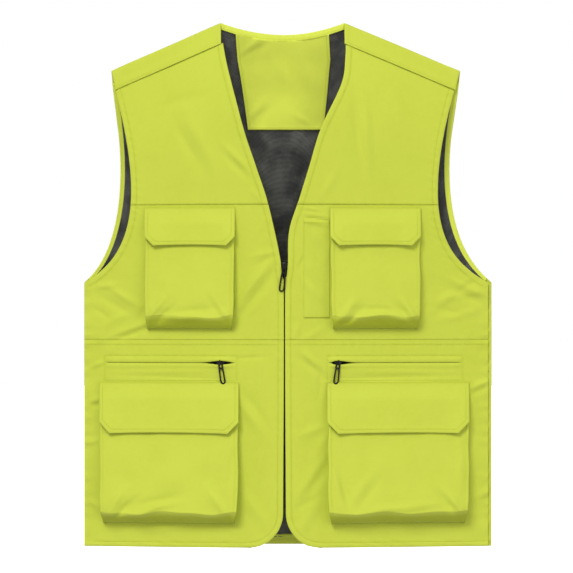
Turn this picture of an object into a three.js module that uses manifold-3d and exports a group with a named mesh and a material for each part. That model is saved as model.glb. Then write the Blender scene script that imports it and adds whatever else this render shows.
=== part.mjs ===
// High visibility vest: a sleeveless zip-front work vest with a V neck and bellows pockets.
// It hangs as it is worn: +Z up, the front faces -Y, the wearer's left is +X, and the
// origin is midway between the two neck points, where the shoulders carry it.
import * as THREE from 'three';
import { mergeVertices } from 'three/addons/utils/BufferGeometryUtils.js';
import Module from 'manifold-3d';

const wasm = await Module();
wasm.setup();

// ---- Driving dimensions, in millimetres -------------------------------------------------
// Drops are measured down from the neck points, insets out from the centre front.
const bodyLength = 700;
const chestHalfWidth = 273;
const torsoDepth = 45; // how far the front and the back each stand off the side seams
const neckHalfWidth = 83;
const backNeckDip = 15;
const shoulderHalfWidth = 235;
const shoulderDrop = 65;
const shoulderRun = 150; // how far below the shoulder ridge the vest reaches its full depth
const frontArmholeHalfWidth = 205;
const frontArmholeDrop = 225;
const backArmholeHalfWidth = 221;
const backArmholeDrop = 195;
const underarmDrop = 347;
const yokeWidth = 28; // the shoulder yoke, from the ridge down to its seam, front and back
const backYokeDrop = 150;
const chestSeamDrop = 244;
const waistSeamDrop = 427;
const hemCornerRadius = 46;
const flatBackShare = 0.75; // the back is flat where the front stands out by more than this
const centreSoftness = 0.3; // how rounded the front is at its centre, as a share of its width

const cloth = 1.2; // shell cloth with its turned seam allowance
const liningCloth = 0.6;
const facingCloth = 0.8;
const layerGap = 0.3;
const liningGap = 0.9; // a lining hangs this far behind the cloth that it lines
const liningEase = 3; // and stops this far short of the facing beside it
const seamGap = 0.5; // between two panels that are sewn edge to edge
const seamFold = cloth + 0.2; // half the thickness of a side seam
const facingWidth = 7;
const sideMargin = 14; // the linings stop this far short of the side seams
const hemFacingWidth = 14;
const frontFacingWidth = 28;
const neckBandWidth = 8;

const frontEdgeGap = 1.2; // half the gap between the two front edges, over the zip
const zipTopDrop = 321;
const zipAboveHem = 52;
const zipBottomDrop = bodyLength - zipAboveHem;
const tapeWidth = 13;
const tapeThickness = 0.7;
const coilHalfWidth = 1.9;
const coilThickness = 2;

const neckFacingTopHalfWidth = 64;
const neckFacingBottomHalfWidth = 49;
const neckFacingDrop = 141;

const sliderLength = 11;
const sliderWidth = 9;
const sliderPlate = 1.2;
const knuckleWidth = 1.6;
const knuckleRadius = 2.6;
const knuckleHoleRadius = 1.35;
const pullBar = 1.4;
const pullWidth = 7;
const frontPullLength = 34;
const pocketPullLength = 24;

const zipSlitHeight = 3.6;
const zipSlitWidth = 176;
const zipSlitDrop = waistSeamDrop + 27;
const zipBagHeight = 150;
const zipBagDepth = 8.5;
const zipBagWall = 1;
const zipInset = { right: 66, left: 60 };
const zipSliderOffset = { right: 20, left: 12 }; // from the slit's inner end, when it is shut

const pocketWall = 1.5;
const chestPocket = {
  name: 'chest', top: chestSeamDrop + 3, width: 119, height: 145, gusset: 17,
  mouthDepth: 14, creaseDepth: 20, flapLength: 51, flapChamfer: 12,
  inset: { right: 67, left: 62 },
};
const lowerPocket = {
  name: 'lower', top: zipSlitDrop + 26, width: 188, height: 173, gusset: 15,
  mouthDepth: 17, creaseDepth: 26, flapLength: 68, flapChamfer: 16,
  inset: { right: 62, left: 58 },
};
const mouthDrop = 16; // from the top of a flap down to the mouth of its pocket
const flapCloth = 1.6;
const flapHinge = 1.8; // how far in front of the panel a flap's hinge line lies
const fastenerGap = 2.2; // room under a flap for its hook and loop strips
const fastener = { width: 50, height: 16, thickness: 0.6, drop: 12 };
const penPocket = { width: 32, gap: 4, top: chestSeamDrop + 18, height: 132, depth: 9 };

const sides = [{ name: 'right', sign: -1 }, { name: 'left', sign: 1 }];

// ---- Materials ----------------------------------------------------------------------------
const shellCloth = new THREE.MeshStandardMaterial({ color: '#cbd64c', roughness: 0.75 });
const pocketCloth = new THREE.MeshStandardMaterial({ color: '#ced950', roughness: 0.75 });
const facingLime = new THREE.MeshStandardMaterial({ color: '#c2cc43', roughness: 0.75 });
const liningMesh = new THREE.MeshStandardMaterial({ color: '#3a3b37', roughness: 0.85 });
const zipTapeBlack = new THREE.MeshStandardMaterial({ color: '#161616', roughness: 0.8 });
const hookLoopLime = new THREE.MeshStandardMaterial({ color: '#b9c63a', roughness: 0.95 });
const sliderMetal = new THREE.MeshStandardMaterial({
  color: '#1d1d1d', roughness: 0.35, metalness: 0.8,
});
const pullPlastic = new THREE.MeshStandardMaterial({ color: '#111111', roughness: 0.45 });

// ---- The shape of the vest -----------------------------------------------------------------
function shoulderRidge(x) {
  const slope = shoulderDrop / (shoulderHalfWidth - neckHalfWidth);
  return (neckHalfWidth - Math.abs(x)) * slope;
}

// 1 along the centre line and 0 at the side seams, straight near the seams.
function across(x) {
  const share = x / chestHalfWidth;
  const bend = Math.hypot(share, centreSoftness) - centreSoftness;
  return 1 - bend / (Math.hypot(1, centreSoftness) - centreSoftness);
}

// 0 along the shoulder ridge and 1 from shoulderRun below it down.
function belowShoulder(x, z) {
  const share = THREE.MathUtils.clamp((shoulderRidge(x) - z) / shoulderRun, 0, 1);
  return Math.sin(share * Math.PI / 2);
}

function frontSurface(x, z) {
  return -seamFold - torsoDepth * across(x) * belowShoulder(x, z);
}

function backSurface(x, z) {
  return seamFold + torsoDepth * Math.min(1, across(x) / flatBackShare) * belowShoulder(x, z);
}

function curve(...points) {
  return new THREE.CubicBezierCurve(...points.map(([x, z]) => new THREE.Vector2(x, z)));
}

const neckEdge = curve([neckHalfWidth, 0], [neckHalfWidth, -0.23 * zipTopDrop],
  [0.36 * neckHalfWidth, -0.59 * zipTopDrop], [frontEdgeGap, -zipTopDrop]);

function armholeCurves(halfWidth, drop, upperPull, lowerPull) {
  const tip = [shoulderHalfWidth, -shoulderDrop];
  const underarm = [chestHalfWidth, -underarmDrop];
  const upper = drop - shoulderDrop;
  const lower = underarmDrop - drop;
  const reach = chestHalfWidth - halfWidth;
  return [
    curve(tip, [tip[0] - upperPull * (tip[0] - halfWidth), -shoulderDrop - 0.28 * upper],
      [halfWidth, -drop + 0.36 * upper], [halfWidth, -drop]),
    curve([halfWidth, -drop], [halfWidth, -drop - lowerPull * lower],
      [halfWidth + 0.3 * reach, -underarmDrop + 0.2 * lower], underarm),
  ];
}

const frontArmhole = armholeCurves(frontArmholeHalfWidth, frontArmholeDrop, 0.45, 0.5);
const backArmhole = armholeCurves(backArmholeHalfWidth, backArmholeDrop, 0.35, 0.45);

// The x of a curve that runs down from its first point, at the height z.
function xOnCurve(edge, z) {
  let low = 0;
  let high = 1;
  for (let step = 0; step < 40; step += 1) {
    const middle = (low + high) / 2;
    if (edge.getPoint(middle).y > z) low = middle;
    else high = middle;
  }
  return edge.getPoint(low).x;
}

function outerEdge(armhole, z) {
  if (z <= -underarmDrop) return chestHalfWidth - seamGap / 2;
  const part = z > armhole[0].getPoint(1).y ? armhole[0] : armhole[1];
  return Math.min(xOnCurve(part, z), chestHalfWidth - seamGap / 2);
}
const frontOuter = (z) => outerEdge(frontArmhole, z);
const backOuter = (z) => outerEdge(backArmhole, z);

// The neck edge, the straight edge over the zip and the rounded corner at the hem.
function frontInner(z) {
  if (z > -zipTopDrop) return xOnCurve(neckEdge, z);
  const intoCorner = THREE.MathUtils.clamp(hemCornerRadius - bodyLength - z, 0, hemCornerRadius);
  const back = Math.sqrt(hemCornerRadius ** 2 - intoCorner ** 2);
  return frontEdgeGap + hemCornerRadius - back;
}

function backNeck(x) {
  return -backNeckDip * (1 - (x / neckHalfWidth) ** 2);
}

// ---- Solids from grids of points -------------------------------------------------------------
function signedVolume(positions, index) {
  const corner = (k) => new THREE.Vector3().fromArray(positions, 3 * index[k]);
  let volume = 0;
  for (let k = 0; k < index.length; k += 3) {
    volume += corner(k).dot(corner(k + 1).cross(corner(k + 2))) / 6;
  }
  return volume;
}

// A closed solid between two grids of points of the same size.
function closedGrid(outer, inner) {
  const rows = outer.length;
  const columns = outer[0].length;
  const positions = [outer, inner].flat(2).flatMap((point) => point.toArray());
  const at = (sheet, row, column) => (sheet * rows + row) * columns + column;
  const index = [];
  const quad = (a, b, c, d) => index.push(a, b, c, a, c, d);
  const [endRow, endColumn] = [rows - 1, columns - 1];
  for (let i = 0; i < endRow; i += 1) {
    for (let j = 0; j < endColumn; j += 1) {
      quad(at(0, i, j), at(0, i, j + 1), at(0, i + 1, j + 1), at(0, i + 1, j));
      quad(at(1, i, j), at(1, i + 1, j), at(1, i + 1, j + 1), at(1, i, j + 1));
    }
    quad(at(0, i, 0), at(0, i + 1, 0), at(1, i + 1, 0), at(1, i, 0));
    quad(at(0, i + 1, endColumn), at(0, i, endColumn), at(1, i, endColumn),
      at(1, i + 1, endColumn));
  }
  for (let j = 0; j < endColumn; j += 1) {
    quad(at(0, 0, j + 1), at(0, 0, j), at(1, 0, j), at(1, 0, j + 1));
    quad(at(0, endRow, j), at(0, endRow, j + 1), at(1, endRow, j + 1), at(1, endRow, j));
  }
  if (signedVolume(positions, index) < 0) index.reverse();
  const geometry = new THREE.BufferGeometry();
  geometry.setAttribute('position', new THREE.Float32BufferAttribute(positions, 3));
  geometry.setIndex(index);
  return geometry;
}

// Each grid point's direction into the vest, square to the cloth.
function inwardNormals(grid) {
  const [endRow, endColumn] = [grid.length - 1, grid[0].length - 1];
  const normals = grid.map((row, i) => row.map((point, j) => {
    const down = grid[Math.min(i + 1, endRow)][j].clone().sub(grid[Math.max(i - 1, 0)][j]);
    const along = row[Math.min(j + 1, endColumn)].clone().sub(row[Math.max(j - 1, 0)]);
    return down.cross(along).normalize();
  }));
  const middleRow = Math.round(endRow / 2);
  const middleColumn = Math.round(endColumn / 2);
  const middle = grid[middleRow][middleColumn];
  const inside = new THREE.Vector3(middle.x, 0, middle.z - torsoDepth);
  if (normals[middleRow][middleColumn].dot(inside.sub(middle)) < 0) {
    normals.flat().forEach((normal) => normal.negate());
  }
  return normals;
}

// A layer of cloth that lies inset from the grid and is the given thickness.
function layer(grid, inset, thickness) {
  const normals = inwardNormals(grid);
  const offset = (distance) => grid.map((row, i) => row.map(
    (point, j) => point.clone().addScaledVector(normals[i][j], distance)));
  return closedGrid(offset(inset), offset(inset + thickness));
}

// A grid ruled between two edges, each a list of [x, z], laid on a surface y(x, z).
function ruledGrid(edgeA, edgeB, steps, surface, sign = 1) {
  return edgeA.map(([xa, za], row) => {
    const [xb, zb] = edgeB[row];
    return Array.from({ length: steps + 1 }, (_, k) => {
      const x = THREE.MathUtils.lerp(xa, xb, k / steps);
      const z = THREE.MathUtils.lerp(za, zb, k / steps);
      return new THREE.Vector3(sign * x, surface(x, z), z);
    });
  });
}

function spread(from, to, count) {
  return Array.from({ length: count + 1 }, (_, k) => THREE.MathUtils.lerp(from, to, k / count));
}

// Rows at the heights zs, each from innerX(z) to outerX(z).
function bandGrid(zs, innerX, outerX, steps, surface, sign = 1) {
  const inner = zs.map((z) => [innerX(z), z]);
  const outer = zs.map((z) => [outerX(z), z]);
  return ruledGrid(inner, outer, steps, surface, sign);
}

// A closed block over the xs and zs, between a front and a back surface.
function block(xs, zs, front, back, sign) {
  const grid = (surface) => zs.map((z) => xs.map(
    (x) => new THREE.Vector3(sign * x, surface(x, z), z)));
  return closedGrid(grid(front), grid(back));
}

function toSolid(geometry) {
  const bare = geometry.clone();
  bare.deleteAttribute('normal');
  bare.deleteAttribute('uv');
  const merged = mergeVertices(bare);
  return new wasm.Manifold(new wasm.Mesh({
    numProp: 3,
    vertProperties: merged.attributes.position.array,
    triVerts: new Uint32Array(merged.index.array),
  }));
}

function toGeometry(solid) {
  const mesh = solid.getMesh();
  const geometry = new THREE.BufferGeometry();
  geometry.setAttribute('position', new THREE.BufferAttribute(mesh.vertProperties, 3));
  geometry.setIndex(new THREE.BufferAttribute(mesh.triVerts, 1));
  return geometry;
}

function cut(geometry, ...cutters) {
  return toGeometry(cutters.reduce((solid, cutter) => solid.subtract(toSolid(cutter)),
    toSolid(geometry)));
}

function join(...geometries) {
  return toGeometry(geometries.map(toSolid).reduce((whole, solid) => whole.add(solid)));
}

function box(width, depth, height, x, y, z) {
  return new THREE.BoxGeometry(width, depth, height).translate(x, y, z);
}

const vest = new THREE.Group();

function add(name, geometry, material) {
  const mesh = new THREE.Mesh(geometry, material);
  mesh.name = name;
  vest.add(mesh);
  return mesh;
}

// ---- Shoulders and back ----------------------------------------------------------------------
// The yoke runs from its front seam up over the ridge and down to its back seam.
function shoulderYoke({ name, sign }) {
  const drops = [1, 0.6, 0.25, 0.06];
  const neckX = neckHalfWidth - seamGap;
  const column = (share, drop, edge, surface) => {
    const outer = edge(seamEnd(edge, yokeWidth * drop));
    const x = THREE.MathUtils.lerp(neckX, outer, share);
    const z = shoulderRidge(x) - yokeWidth * drop;
    return new THREE.Vector3(sign * x, surface(x, z), z);
  };
  const grid = spread(0, 1, 8).map((share) => {
    const x = THREE.MathUtils.lerp(neckX, shoulderHalfWidth - 2, share);
    return [
      ...drops.map((drop) => column(share, drop, frontOuter, frontSurface)),
      new THREE.Vector3(sign * x, 0, shoulderRidge(x)),
      ...[...drops].reverse().map((drop) => column(share, drop, backOuter, backSurface)),
    ];
  });
  add(`${name}_shoulder_yoke`, layer(grid, 0, cloth), shellCloth);
}

// The height at which an armhole edge meets a seam that runs this far below the ridge.
function seamEnd(edge, drop) {
  let z = -shoulderDrop - drop;
  for (let step = 0; step < 8; step += 1) z = shoulderRidge(edge(z)) - drop;
  return z;
}

// The top edge of the back below the yokes: along a yoke seam, round the neck, and back down.
function backTop(belowYoke, belowNeck) {
  const drop = yokeWidth + belowYoke;
  const neckX = neckHalfWidth - 2 * seamGap;
  const shoulder = spread(backOuter(seamEnd(backOuter, drop)), neckX - seamGap, 6).map(
    (x) => [x, shoulderRidge(x) - drop]);
  const neck = spread(neckX - 2 * seamGap, 0, 6).map((x) => [x, backNeck(x) - belowNeck]);
  const half = [...shoulder, ...neck];
  const mirrored = half.slice(0, -1).reverse().map(([x, z]) => [-x, z]);
  return [...half, ...mirrored];
}

function backYoke() {
  const top = backTop(seamGap, 1);
  const bottomWidth = backOuter(-backYokeDrop);
  const bottom = top.map(([x]) => [x * bottomWidth / top[0][0], -backYokeDrop]);
  add('back_yoke', layer(ruledGrid(top, bottom, 8, backSurface), 0, cloth), shellCloth);
}

function backPanel() {
  const zs = [...spread(-backYokeDrop - seamGap, -underarmDrop, 12), -440, -570, -bodyLength];
  const grid = bandGrid(zs, (z) => -backOuter(z), backOuter, 32, backSurface);
  add('back_panel', layer(grid, 0, cloth), shellCloth);
}

const liningInset = cloth + liningGap;
const facingInset = liningInset + liningCloth + liningGap;
const liningOuter = (outer, z) => Math.min(outer(z) - facingWidth - liningEase,
  chestHalfWidth - sideMargin);

function backLining() {
  const bottomDrop = bodyLength - hemFacingWidth - seamGap;
  const top = backTop(12, neckBandWidth + liningEase + 1);
  const width = liningOuter(backOuter, -backYokeDrop);
  const shrunk = top.map(([x, z]) => [x * width / top[0][0], z]);
  const middle = shrunk.map(([x]) => [x, -backYokeDrop]);
  const upper = ruledGrid(shrunk, middle, 5, backSurface);
  const zs = [...spread(-backYokeDrop, -underarmDrop, 10), -bottomDrop];
  const lower = shrunk.map(([x]) => zs.slice(1).map((z) => {
    const across = x / width * liningOuter(backOuter, z);
    return new THREE.Vector3(across, backSurface(across, z), z);
  }));
  const grid = upper.map((row, i) => [...row, ...lower[i]]);
  add('back_lining', layer(grid, liningInset, liningCloth), liningMesh);
}

function backNeckFacing() {
  const zs = spread(-backNeckDip - neckBandWidth - 2, -neckFacingDrop, 6);
  const half = (z) => THREE.MathUtils.mapLinear(z, zs[0], -neckFacingDrop,
    neckFacingTopHalfWidth, neckFacingBottomHalfWidth);
  const grid = bandGrid(zs, (z) => -half(z), half, 10, backSurface);
  add('back_neck_facing', layer(grid, facingInset, facingCloth), facingLime);
}

function neckBand() {
  const xs = spread(-neckHalfWidth + 6, neckHalfWidth - 6, 14);
  const top = xs.map((x) => [x, backNeck(x) - 1]);
  const bottom = xs.map((x) => [x, backNeck(x) - 1 - neckBandWidth]);
  const grid = ruledGrid(top, bottom, 1, backSurface);
  add('back_neck_band', layer(grid, liningInset, facingCloth), facingLime);
}

function backHemFacing() {
  const zs = [-bodyLength + hemFacingWidth, -bodyLength + 1];
  const width = chestHalfWidth - sideMargin;
  const grid = bandGrid(zs, () => -width, () => width, 32, backSurface);
  add('back_hem_facing', layer(grid, liningInset, facingCloth), facingLime);
}

function armholeFacing(label, { name, sign }, outer, surface, fromDrop, toDrop) {
  const zs = spread(-fromDrop, -toDrop, 12).filter((z) => outer(z) < chestHalfWidth - sideMargin);
  const grid = bandGrid(zs, (z) => outer(z) - facingWidth, (z) => outer(z) - 0.3, 1, surface,
    sign);
  add(`${name}_${label}_armhole_facing`, layer(grid, liningInset, facingCloth), facingLime);
}

// ---- Fronts ------------------------------------------------------------------------------------
// Rows from the yoke seam down to the chest seam, between the neck and the armhole.
function chestGrid(belowYoke, innerX, outerX, sign) {
  const bottom = -chestSeamDrop + seamGap / 2;
  const drop = yokeWidth + belowYoke;
  const inner = spread(seamEnd(innerX, drop), bottom, 12).map((z) => [innerX(z), z]);
  const outer = spread(seamEnd(outerX, drop), bottom, 12).map((z) => [outerX(z), z]);
  return ruledGrid(inner, outer, 12, frontSurface, sign);
}

function chestPanel({ name, sign }) {
  const grid = chestGrid(seamGap, frontInner, frontOuter, sign);
  add(`${name}_chest_panel`, layer(grid, 0, cloth), shellCloth);
  const lining = chestGrid(12, (z) => frontInner(z) + facingWidth,
    (z) => liningOuter(frontOuter, z), sign);
  add(`${name}_chest_lining`, layer(lining, liningInset, liningCloth), liningMesh);
}

function middlePanel({ name, sign }) {
  const zs = [...spread(-chestSeamDrop - seamGap / 2, -underarmDrop, 10),
    -waistSeamDrop + seamGap / 2];
  const grid = bandGrid(zs, frontInner, frontOuter, 16, frontSurface, sign);
  add(`${name}_middle_panel`, layer(grid, 0, cloth), shellCloth);
}

function zipSlit(side) {
  const start = zipInset[side.name];
  return { start, end: start + zipSlitWidth };
}

function lowerPanel(side) {
  const cornerTop = -bodyLength + hemCornerRadius;
  const corner = spread(0, Math.PI / 2, 8).map(
    (angle) => cornerTop - hemCornerRadius * Math.sin(angle));
  const zs = [-waistSeamDrop - seamGap / 2, -zipSlitDrop - 40, ...corner];
  const grid = bandGrid(zs, frontInner, frontOuter, 16, frontSurface, side.sign);
  const { start, end } = zipSlit(side);
  const slit = block([start, end], [-zipSlitDrop - zipSlitHeight / 2,
    -zipSlitDrop + zipSlitHeight / 2], () => -2 * torsoDepth, () => torsoDepth, side.sign);
  add(`${side.name}_lower_panel`, cut(layer(grid, 0, cloth), slit), shellCloth);
}

// Where a front's facing starts: at the neck edge, or beyond the zip tape below it.
const facingStart = (z) => Math.max(frontInner(z) + 1, frontEdgeGap + tapeWidth + 2);
const facingEnd = (z) => facingStart(z) + frontFacingWidth;

// The lime strip inside a front edge, from the chest seam down past the zip tape to the hem.
function frontFacing({ name, sign }) {
  const zs = [...spread(-chestSeamDrop - seamGap / 2, -zipTopDrop, 4), -waistSeamDrop,
    ...spread(-zipBottomDrop, -bodyLength + 4, 5)];
  const grid = bandGrid(zs, facingStart, facingEnd, 3, frontSurface, sign);
  add(`${name}_front_facing`, layer(grid, liningInset, facingCloth), facingLime);
}

function frontLining({ name, sign }) {
  const bottom = -zipSlitDrop + tapeWidth + 4;
  const zs = spread(-chestSeamDrop - seamGap / 2, bottom, 24);
  const grid = bandGrid(zs, (z) => facingEnd(z) + seamGap, (z) => liningOuter(frontOuter, z), 12,
    frontSurface, sign);
  add(`${name}_front_lining`, layer(grid, liningInset, liningCloth), liningMesh);
}

// ---- Zips ----------------------------------------------------------------------------------------
const plateInset = cloth + 0.4; // a slider's plate, behind the shell
const coilInset = plateInset + sliderPlate + layerGap;
const frontLine = -seamFold - torsoDepth; // the front's outermost line, over the zip

function frontZipTape({ name, sign }) {
  const length = zipBottomDrop - zipTopDrop;
  const middle = -(zipBottomDrop + zipTopDrop) / 2;
  const coilWidth = coilHalfWidth - 0.2;
  const y = frontLine + coilInset + coilThickness / 2;
  const coil = box(coilWidth, coilThickness, length, sign * (0.2 + coilWidth / 2), y, middle);
  const tape = box(tapeWidth - 1, tapeThickness, length, sign * (1 + (tapeWidth - 1) / 2), y,
    middle);
  add(`${name}_front_zip_tape`, join(coil, tape), zipTapeBlack);
}

function zipEnds() {
  const y = frontLine + coilInset + coilThickness / 2;
  const size = 9;
  const z = -zipBottomDrop - size / 2 - layerGap;
  add('front_zip_retainer_box', box(5, 2.8, size, -2.5 - 0.2, y, z), pullPlastic);
  add('front_zip_insertion_pin', box(2.2, 1.8, size, 1.1 + 0.2, y, z), pullPlastic);
  for (const { name, sign } of sides) {
    const stop = box(2.4, 2.4, 2.4, sign * 1.7, y, -zipTopDrop + layerGap + 1.2);
    add(`${name}_front_zip_top_stop`, stop, pullPlastic);
  }
}

// A plate behind the cloth, a neck through the slit and a drilled knuckle in front of it.
function sliderGeometry(plateWidth, plateHeight, reach) {
  const plateY = plateInset + sliderPlate / 2;
  const knuckle = new THREE.CylinderGeometry(knuckleRadius, knuckleRadius, knuckleWidth, 20)
    .rotateZ(Math.PI / 2).translate(0, -reach, 0);
  const hole = new THREE.CylinderGeometry(knuckleHoleRadius, knuckleHoleRadius,
    2 * knuckleWidth, 16).rotateZ(Math.PI / 2).translate(0, -reach, 0);
  const neckDepth = plateInset + reach;
  const neck = box(knuckleWidth, neckDepth, 2.8, 0, plateInset + 0.1 - neckDepth / 2, 0);
  const plate = box(plateWidth, sliderPlate, plateHeight, 0, plateY, 0);
  return cut(join(plate, neck, knuckle), hole);
}

// An upright ring whose top bar turns in the slider's knuckle.
function pullGeometry(length) {
  const outer = new THREE.Shape();
  const half = pullWidth / 2;
  const bottom = -length + half;
  outer.moveTo(-half, pullBar / 2).lineTo(-half, bottom);
  outer.absarc(0, bottom, half, Math.PI, 2 * Math.PI, false);
  outer.lineTo(half, pullBar / 2).closePath();
  const inner = new THREE.Path();
  const innerHalf = half - pullBar;
  inner.moveTo(-innerHalf, -pullBar / 2).lineTo(-innerHalf, bottom);
  inner.absarc(0, bottom, innerHalf, Math.PI, 2 * Math.PI, false);
  inner.lineTo(innerHalf, -pullBar / 2).closePath();
  outer.holes.push(inner);
  return new THREE.ExtrudeGeometry(outer, { depth: pullBar, bevelEnabled: false,
    curveSegments: 8 }).translate(0, 0, -pullBar / 2).rotateX(Math.PI / 2);
}

const frontKnuckleReach = knuckleRadius + 0.4;

function frontSlider() {
  const z = -zipTopDrop - sliderLength / 2 + 1;
  const slider = add('front_zip_slider',
    sliderGeometry(sliderWidth, sliderLength, frontKnuckleReach), sliderMetal);
  slider.position.set(0, frontLine, z);
  const pull = add('front_zip_pull', pullGeometry(frontPullLength), pullPlastic);
  pull.position.set(0, frontLine - frontKnuckleReach, z);
}

// The straight line between two places on the front, and how far the front bulges over it.
function chord(start, end) {
  const [a, b] = [frontSurface(start, -bodyLength), frontSurface(end, -bodyLength)];
  const y = (x) => THREE.MathUtils.mapLinear(x, start, end, a, b);
  const bulges = spread(start, end, 16).map((x) => y(x) - frontSurface(x, -bodyLength));
  return { y, bulge: Math.max(...bulges), angle: Math.atan2(b - a, end - start) };
}

function pocketZip(side) {
  const { start, end } = zipSlit(side);
  const line = chord(start, end);
  const reach = line.bulge + knuckleRadius + 0.4;
  const coilY = (x) => line.y(x) + coilInset;
  const coil = block([start, end], [-zipSlitDrop - coilHalfWidth, -zipSlitDrop + coilHalfWidth],
    coilY, (x) => coilY(x) + coilThickness, side.sign);
  const tapeY = (x) => coilY(x) + (coilThickness - tapeThickness) / 2;
  const tape = block([start, end], [-zipSlitDrop - tapeWidth + 4, -zipSlitDrop + tapeWidth - 4],
    tapeY, (x) => tapeY(x) + tapeThickness, side.sign);
  add(`${side.name}_pocket_zip_tape`, join(coil, tape), zipTapeBlack);
  const x = start + zipSliderOffset[side.name];
  const slider = add(`${side.name}_pocket_zip_slider`,
    sliderGeometry(sliderLength, sliderWidth, reach), sliderMetal);
  const pull = add(`${side.name}_pocket_zip_pull`, pullGeometry(pocketPullLength), pullPlastic);
  slider.position.set(side.sign * x, line.y(x), -zipSlitDrop);
  slider.rotation.z = side.sign * line.angle;
  const forward = new THREE.Vector3(0, -reach, 0).applyEuler(slider.rotation);
  pull.position.copy(slider.position).add(forward);
  pull.rotation.z = slider.rotation.z;
}

// The bag behind a pocket zip, sewn to the inside of the front and open towards it.
function zipPocketBag(side) {
  const { start, end } = zipSlit(side);
  const [left, right] = [start - 6, end + 6];
  const top = -zipSlitDrop + tapeWidth;
  const bottom = top - zipBagHeight;
  const front = (x) => frontSurface(x, -bodyLength) + liningInset;
  const back = (x) => Math.min(frontSurface(x, -bodyLength) + zipBagDepth, -1);
  const xs = spread(left, right, 12);
  const insideXs = spread(left + zipBagWall, right - zipBagWall, 12);
  const outer = block(xs, [bottom, top], front, back, side.sign);
  const hollow = block(insideXs, [bottom + zipBagWall, top - zipBagWall],
    (x) => front(x) - zipBagDepth, (x) => back(x) - zipBagWall, side.sign);
  add(`${side.name}_zip_pocket_bag`, cut(outer, hollow), pocketCloth);
}

// ---- Patch pockets ---------------------------------------------------------------------------------
// How far a pocket's front stands off its panel at the height z.
function pocketProfile(pocket) {
  const mouth = -pocket.top - mouthDrop;
  const crease = -pocket.top - pocket.height;
  const bottom = crease - pocket.gusset;
  const depth = (z) => (z > crease
    ? THREE.MathUtils.mapLinear(z, crease, mouth, pocket.creaseDepth, pocket.mouthDepth)
    : THREE.MathUtils.mapLinear(z, bottom, crease, 2, pocket.creaseDepth));
  return { mouth, crease, bottom, depth };
}

function pocketLine(pocket, side) {
  const start = pocket.inset[side.name];
  const line = chord(start, start + pocket.width);
  return { start, end: start + pocket.width, y: (x) => line.y(x) - line.bulge };
}

function pocketBag(pocket, side) {
  const { mouth, crease, bottom, depth } = pocketProfile(pocket);
  const { start, end, y } = pocketLine(pocket, side);
  const panel = (x) => frontSurface(x, -bodyLength) - layerGap;
  const outer = block(spread(start, end, 8), [bottom, crease, mouth],
    (x, z) => y(x) - depth(z), panel, side.sign);
  const hollow = block(spread(start + pocketWall, end - pocketWall, 8),
    [bottom + 3, crease, mouth + 10], (x, z) => y(x) - depth(z) + pocketWall,
    (x) => panel(x) + torsoDepth / 4, side.sign);
  add(`${side.name}_${pocket.name}_pocket`, cut(outer, hollow), pocketCloth);
}

// The flap rises over the mouth of its pocket and lies along the pocket's front.
function pocketFlap(pocket, side) {
  const { mouth, depth } = pocketProfile(pocket);
  const { start, end, y } = pocketLine(pocket, side);
  const top = -pocket.top;
  const bottom = top - pocket.flapLength;
  const shoulder = mouth + 4;
  const lift = (z) => (z > shoulder
    ? THREE.MathUtils.mapLinear(z, top, shoulder, flapHinge, depth(mouth) + fastenerGap + flapCloth)
    : depth(Math.min(z, mouth)) + fastenerGap + flapCloth);
  const chamferTop = bottom + pocket.flapChamfer;
  const chamfer = (z) => Math.max(0, chamferTop - z);
  const zs = [top, shoulder, mouth - 4, chamferTop, bottom];
  const xs = zs.map((z) => spread(start - 1 + chamfer(z), end + 1 - chamfer(z), 8));
  const sheet = (offset) => zs.map((z, i) => xs[i].map(
    (x) => new THREE.Vector3(side.sign * x, y(x) - lift(z) + offset, z)));
  add(`${side.name}_${pocket.name}_flap`,
    closedGrid(sheet(-flapCloth / 2), sheet(flapCloth / 2)), pocketCloth);
}

function fasteners(pocket, side) {
  const { mouth, depth } = pocketProfile(pocket);
  const { start, end, y } = pocketLine(pocket, side);
  const middle = (start + end) / 2;
  const xs = [middle - fastener.width / 2, middle + fastener.width / 2];
  const zs = [mouth - fastener.drop - fastener.height, mouth - fastener.drop];
  const strip = (distance) => block(xs, zs,
    (x, z) => y(x) - depth(z) - distance - fastener.thickness,
    (x, z) => y(x) - depth(z) - distance, side.sign);
  add(`${side.name}_${pocket.name}_hook_strip`, strip(layerGap), hookLoopLime);
  const loop = strip(fastenerGap + flapCloth / 2 - layerGap - fastener.thickness);
  add(`${side.name}_${pocket.name}_loop_strip`, loop, hookLoopLime);
}

function penPocketBag(side) {
  const { width, gap, top, height, depth } = penPocket;
  const inset = chestPocket.inset[side.name] - gap - width;
  const front = (x, z) => frontSurface(x, -bodyLength)
    - depth * THREE.MathUtils.clamp((z + top + height) / 20, 0.3, 1) - layerGap;
  const panel = (x) => frontSurface(x, -bodyLength) - layerGap;
  const bottom = -top - height;
  const outer = block(spread(inset, inset + width, 4), [bottom, bottom + 20, -top], front, panel,
    side.sign);
  const hollow = block(spread(inset + pocketWall, inset + width - pocketWall, 4),
    [bottom + 3, bottom + 20, -top + 10], (x, z) => front(x, z) + pocketWall,
    (x) => panel(x) + torsoDepth / 4, side.sign);
  add(`${side.name}_pen_pocket`, cut(outer, hollow), pocketCloth);
}

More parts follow.
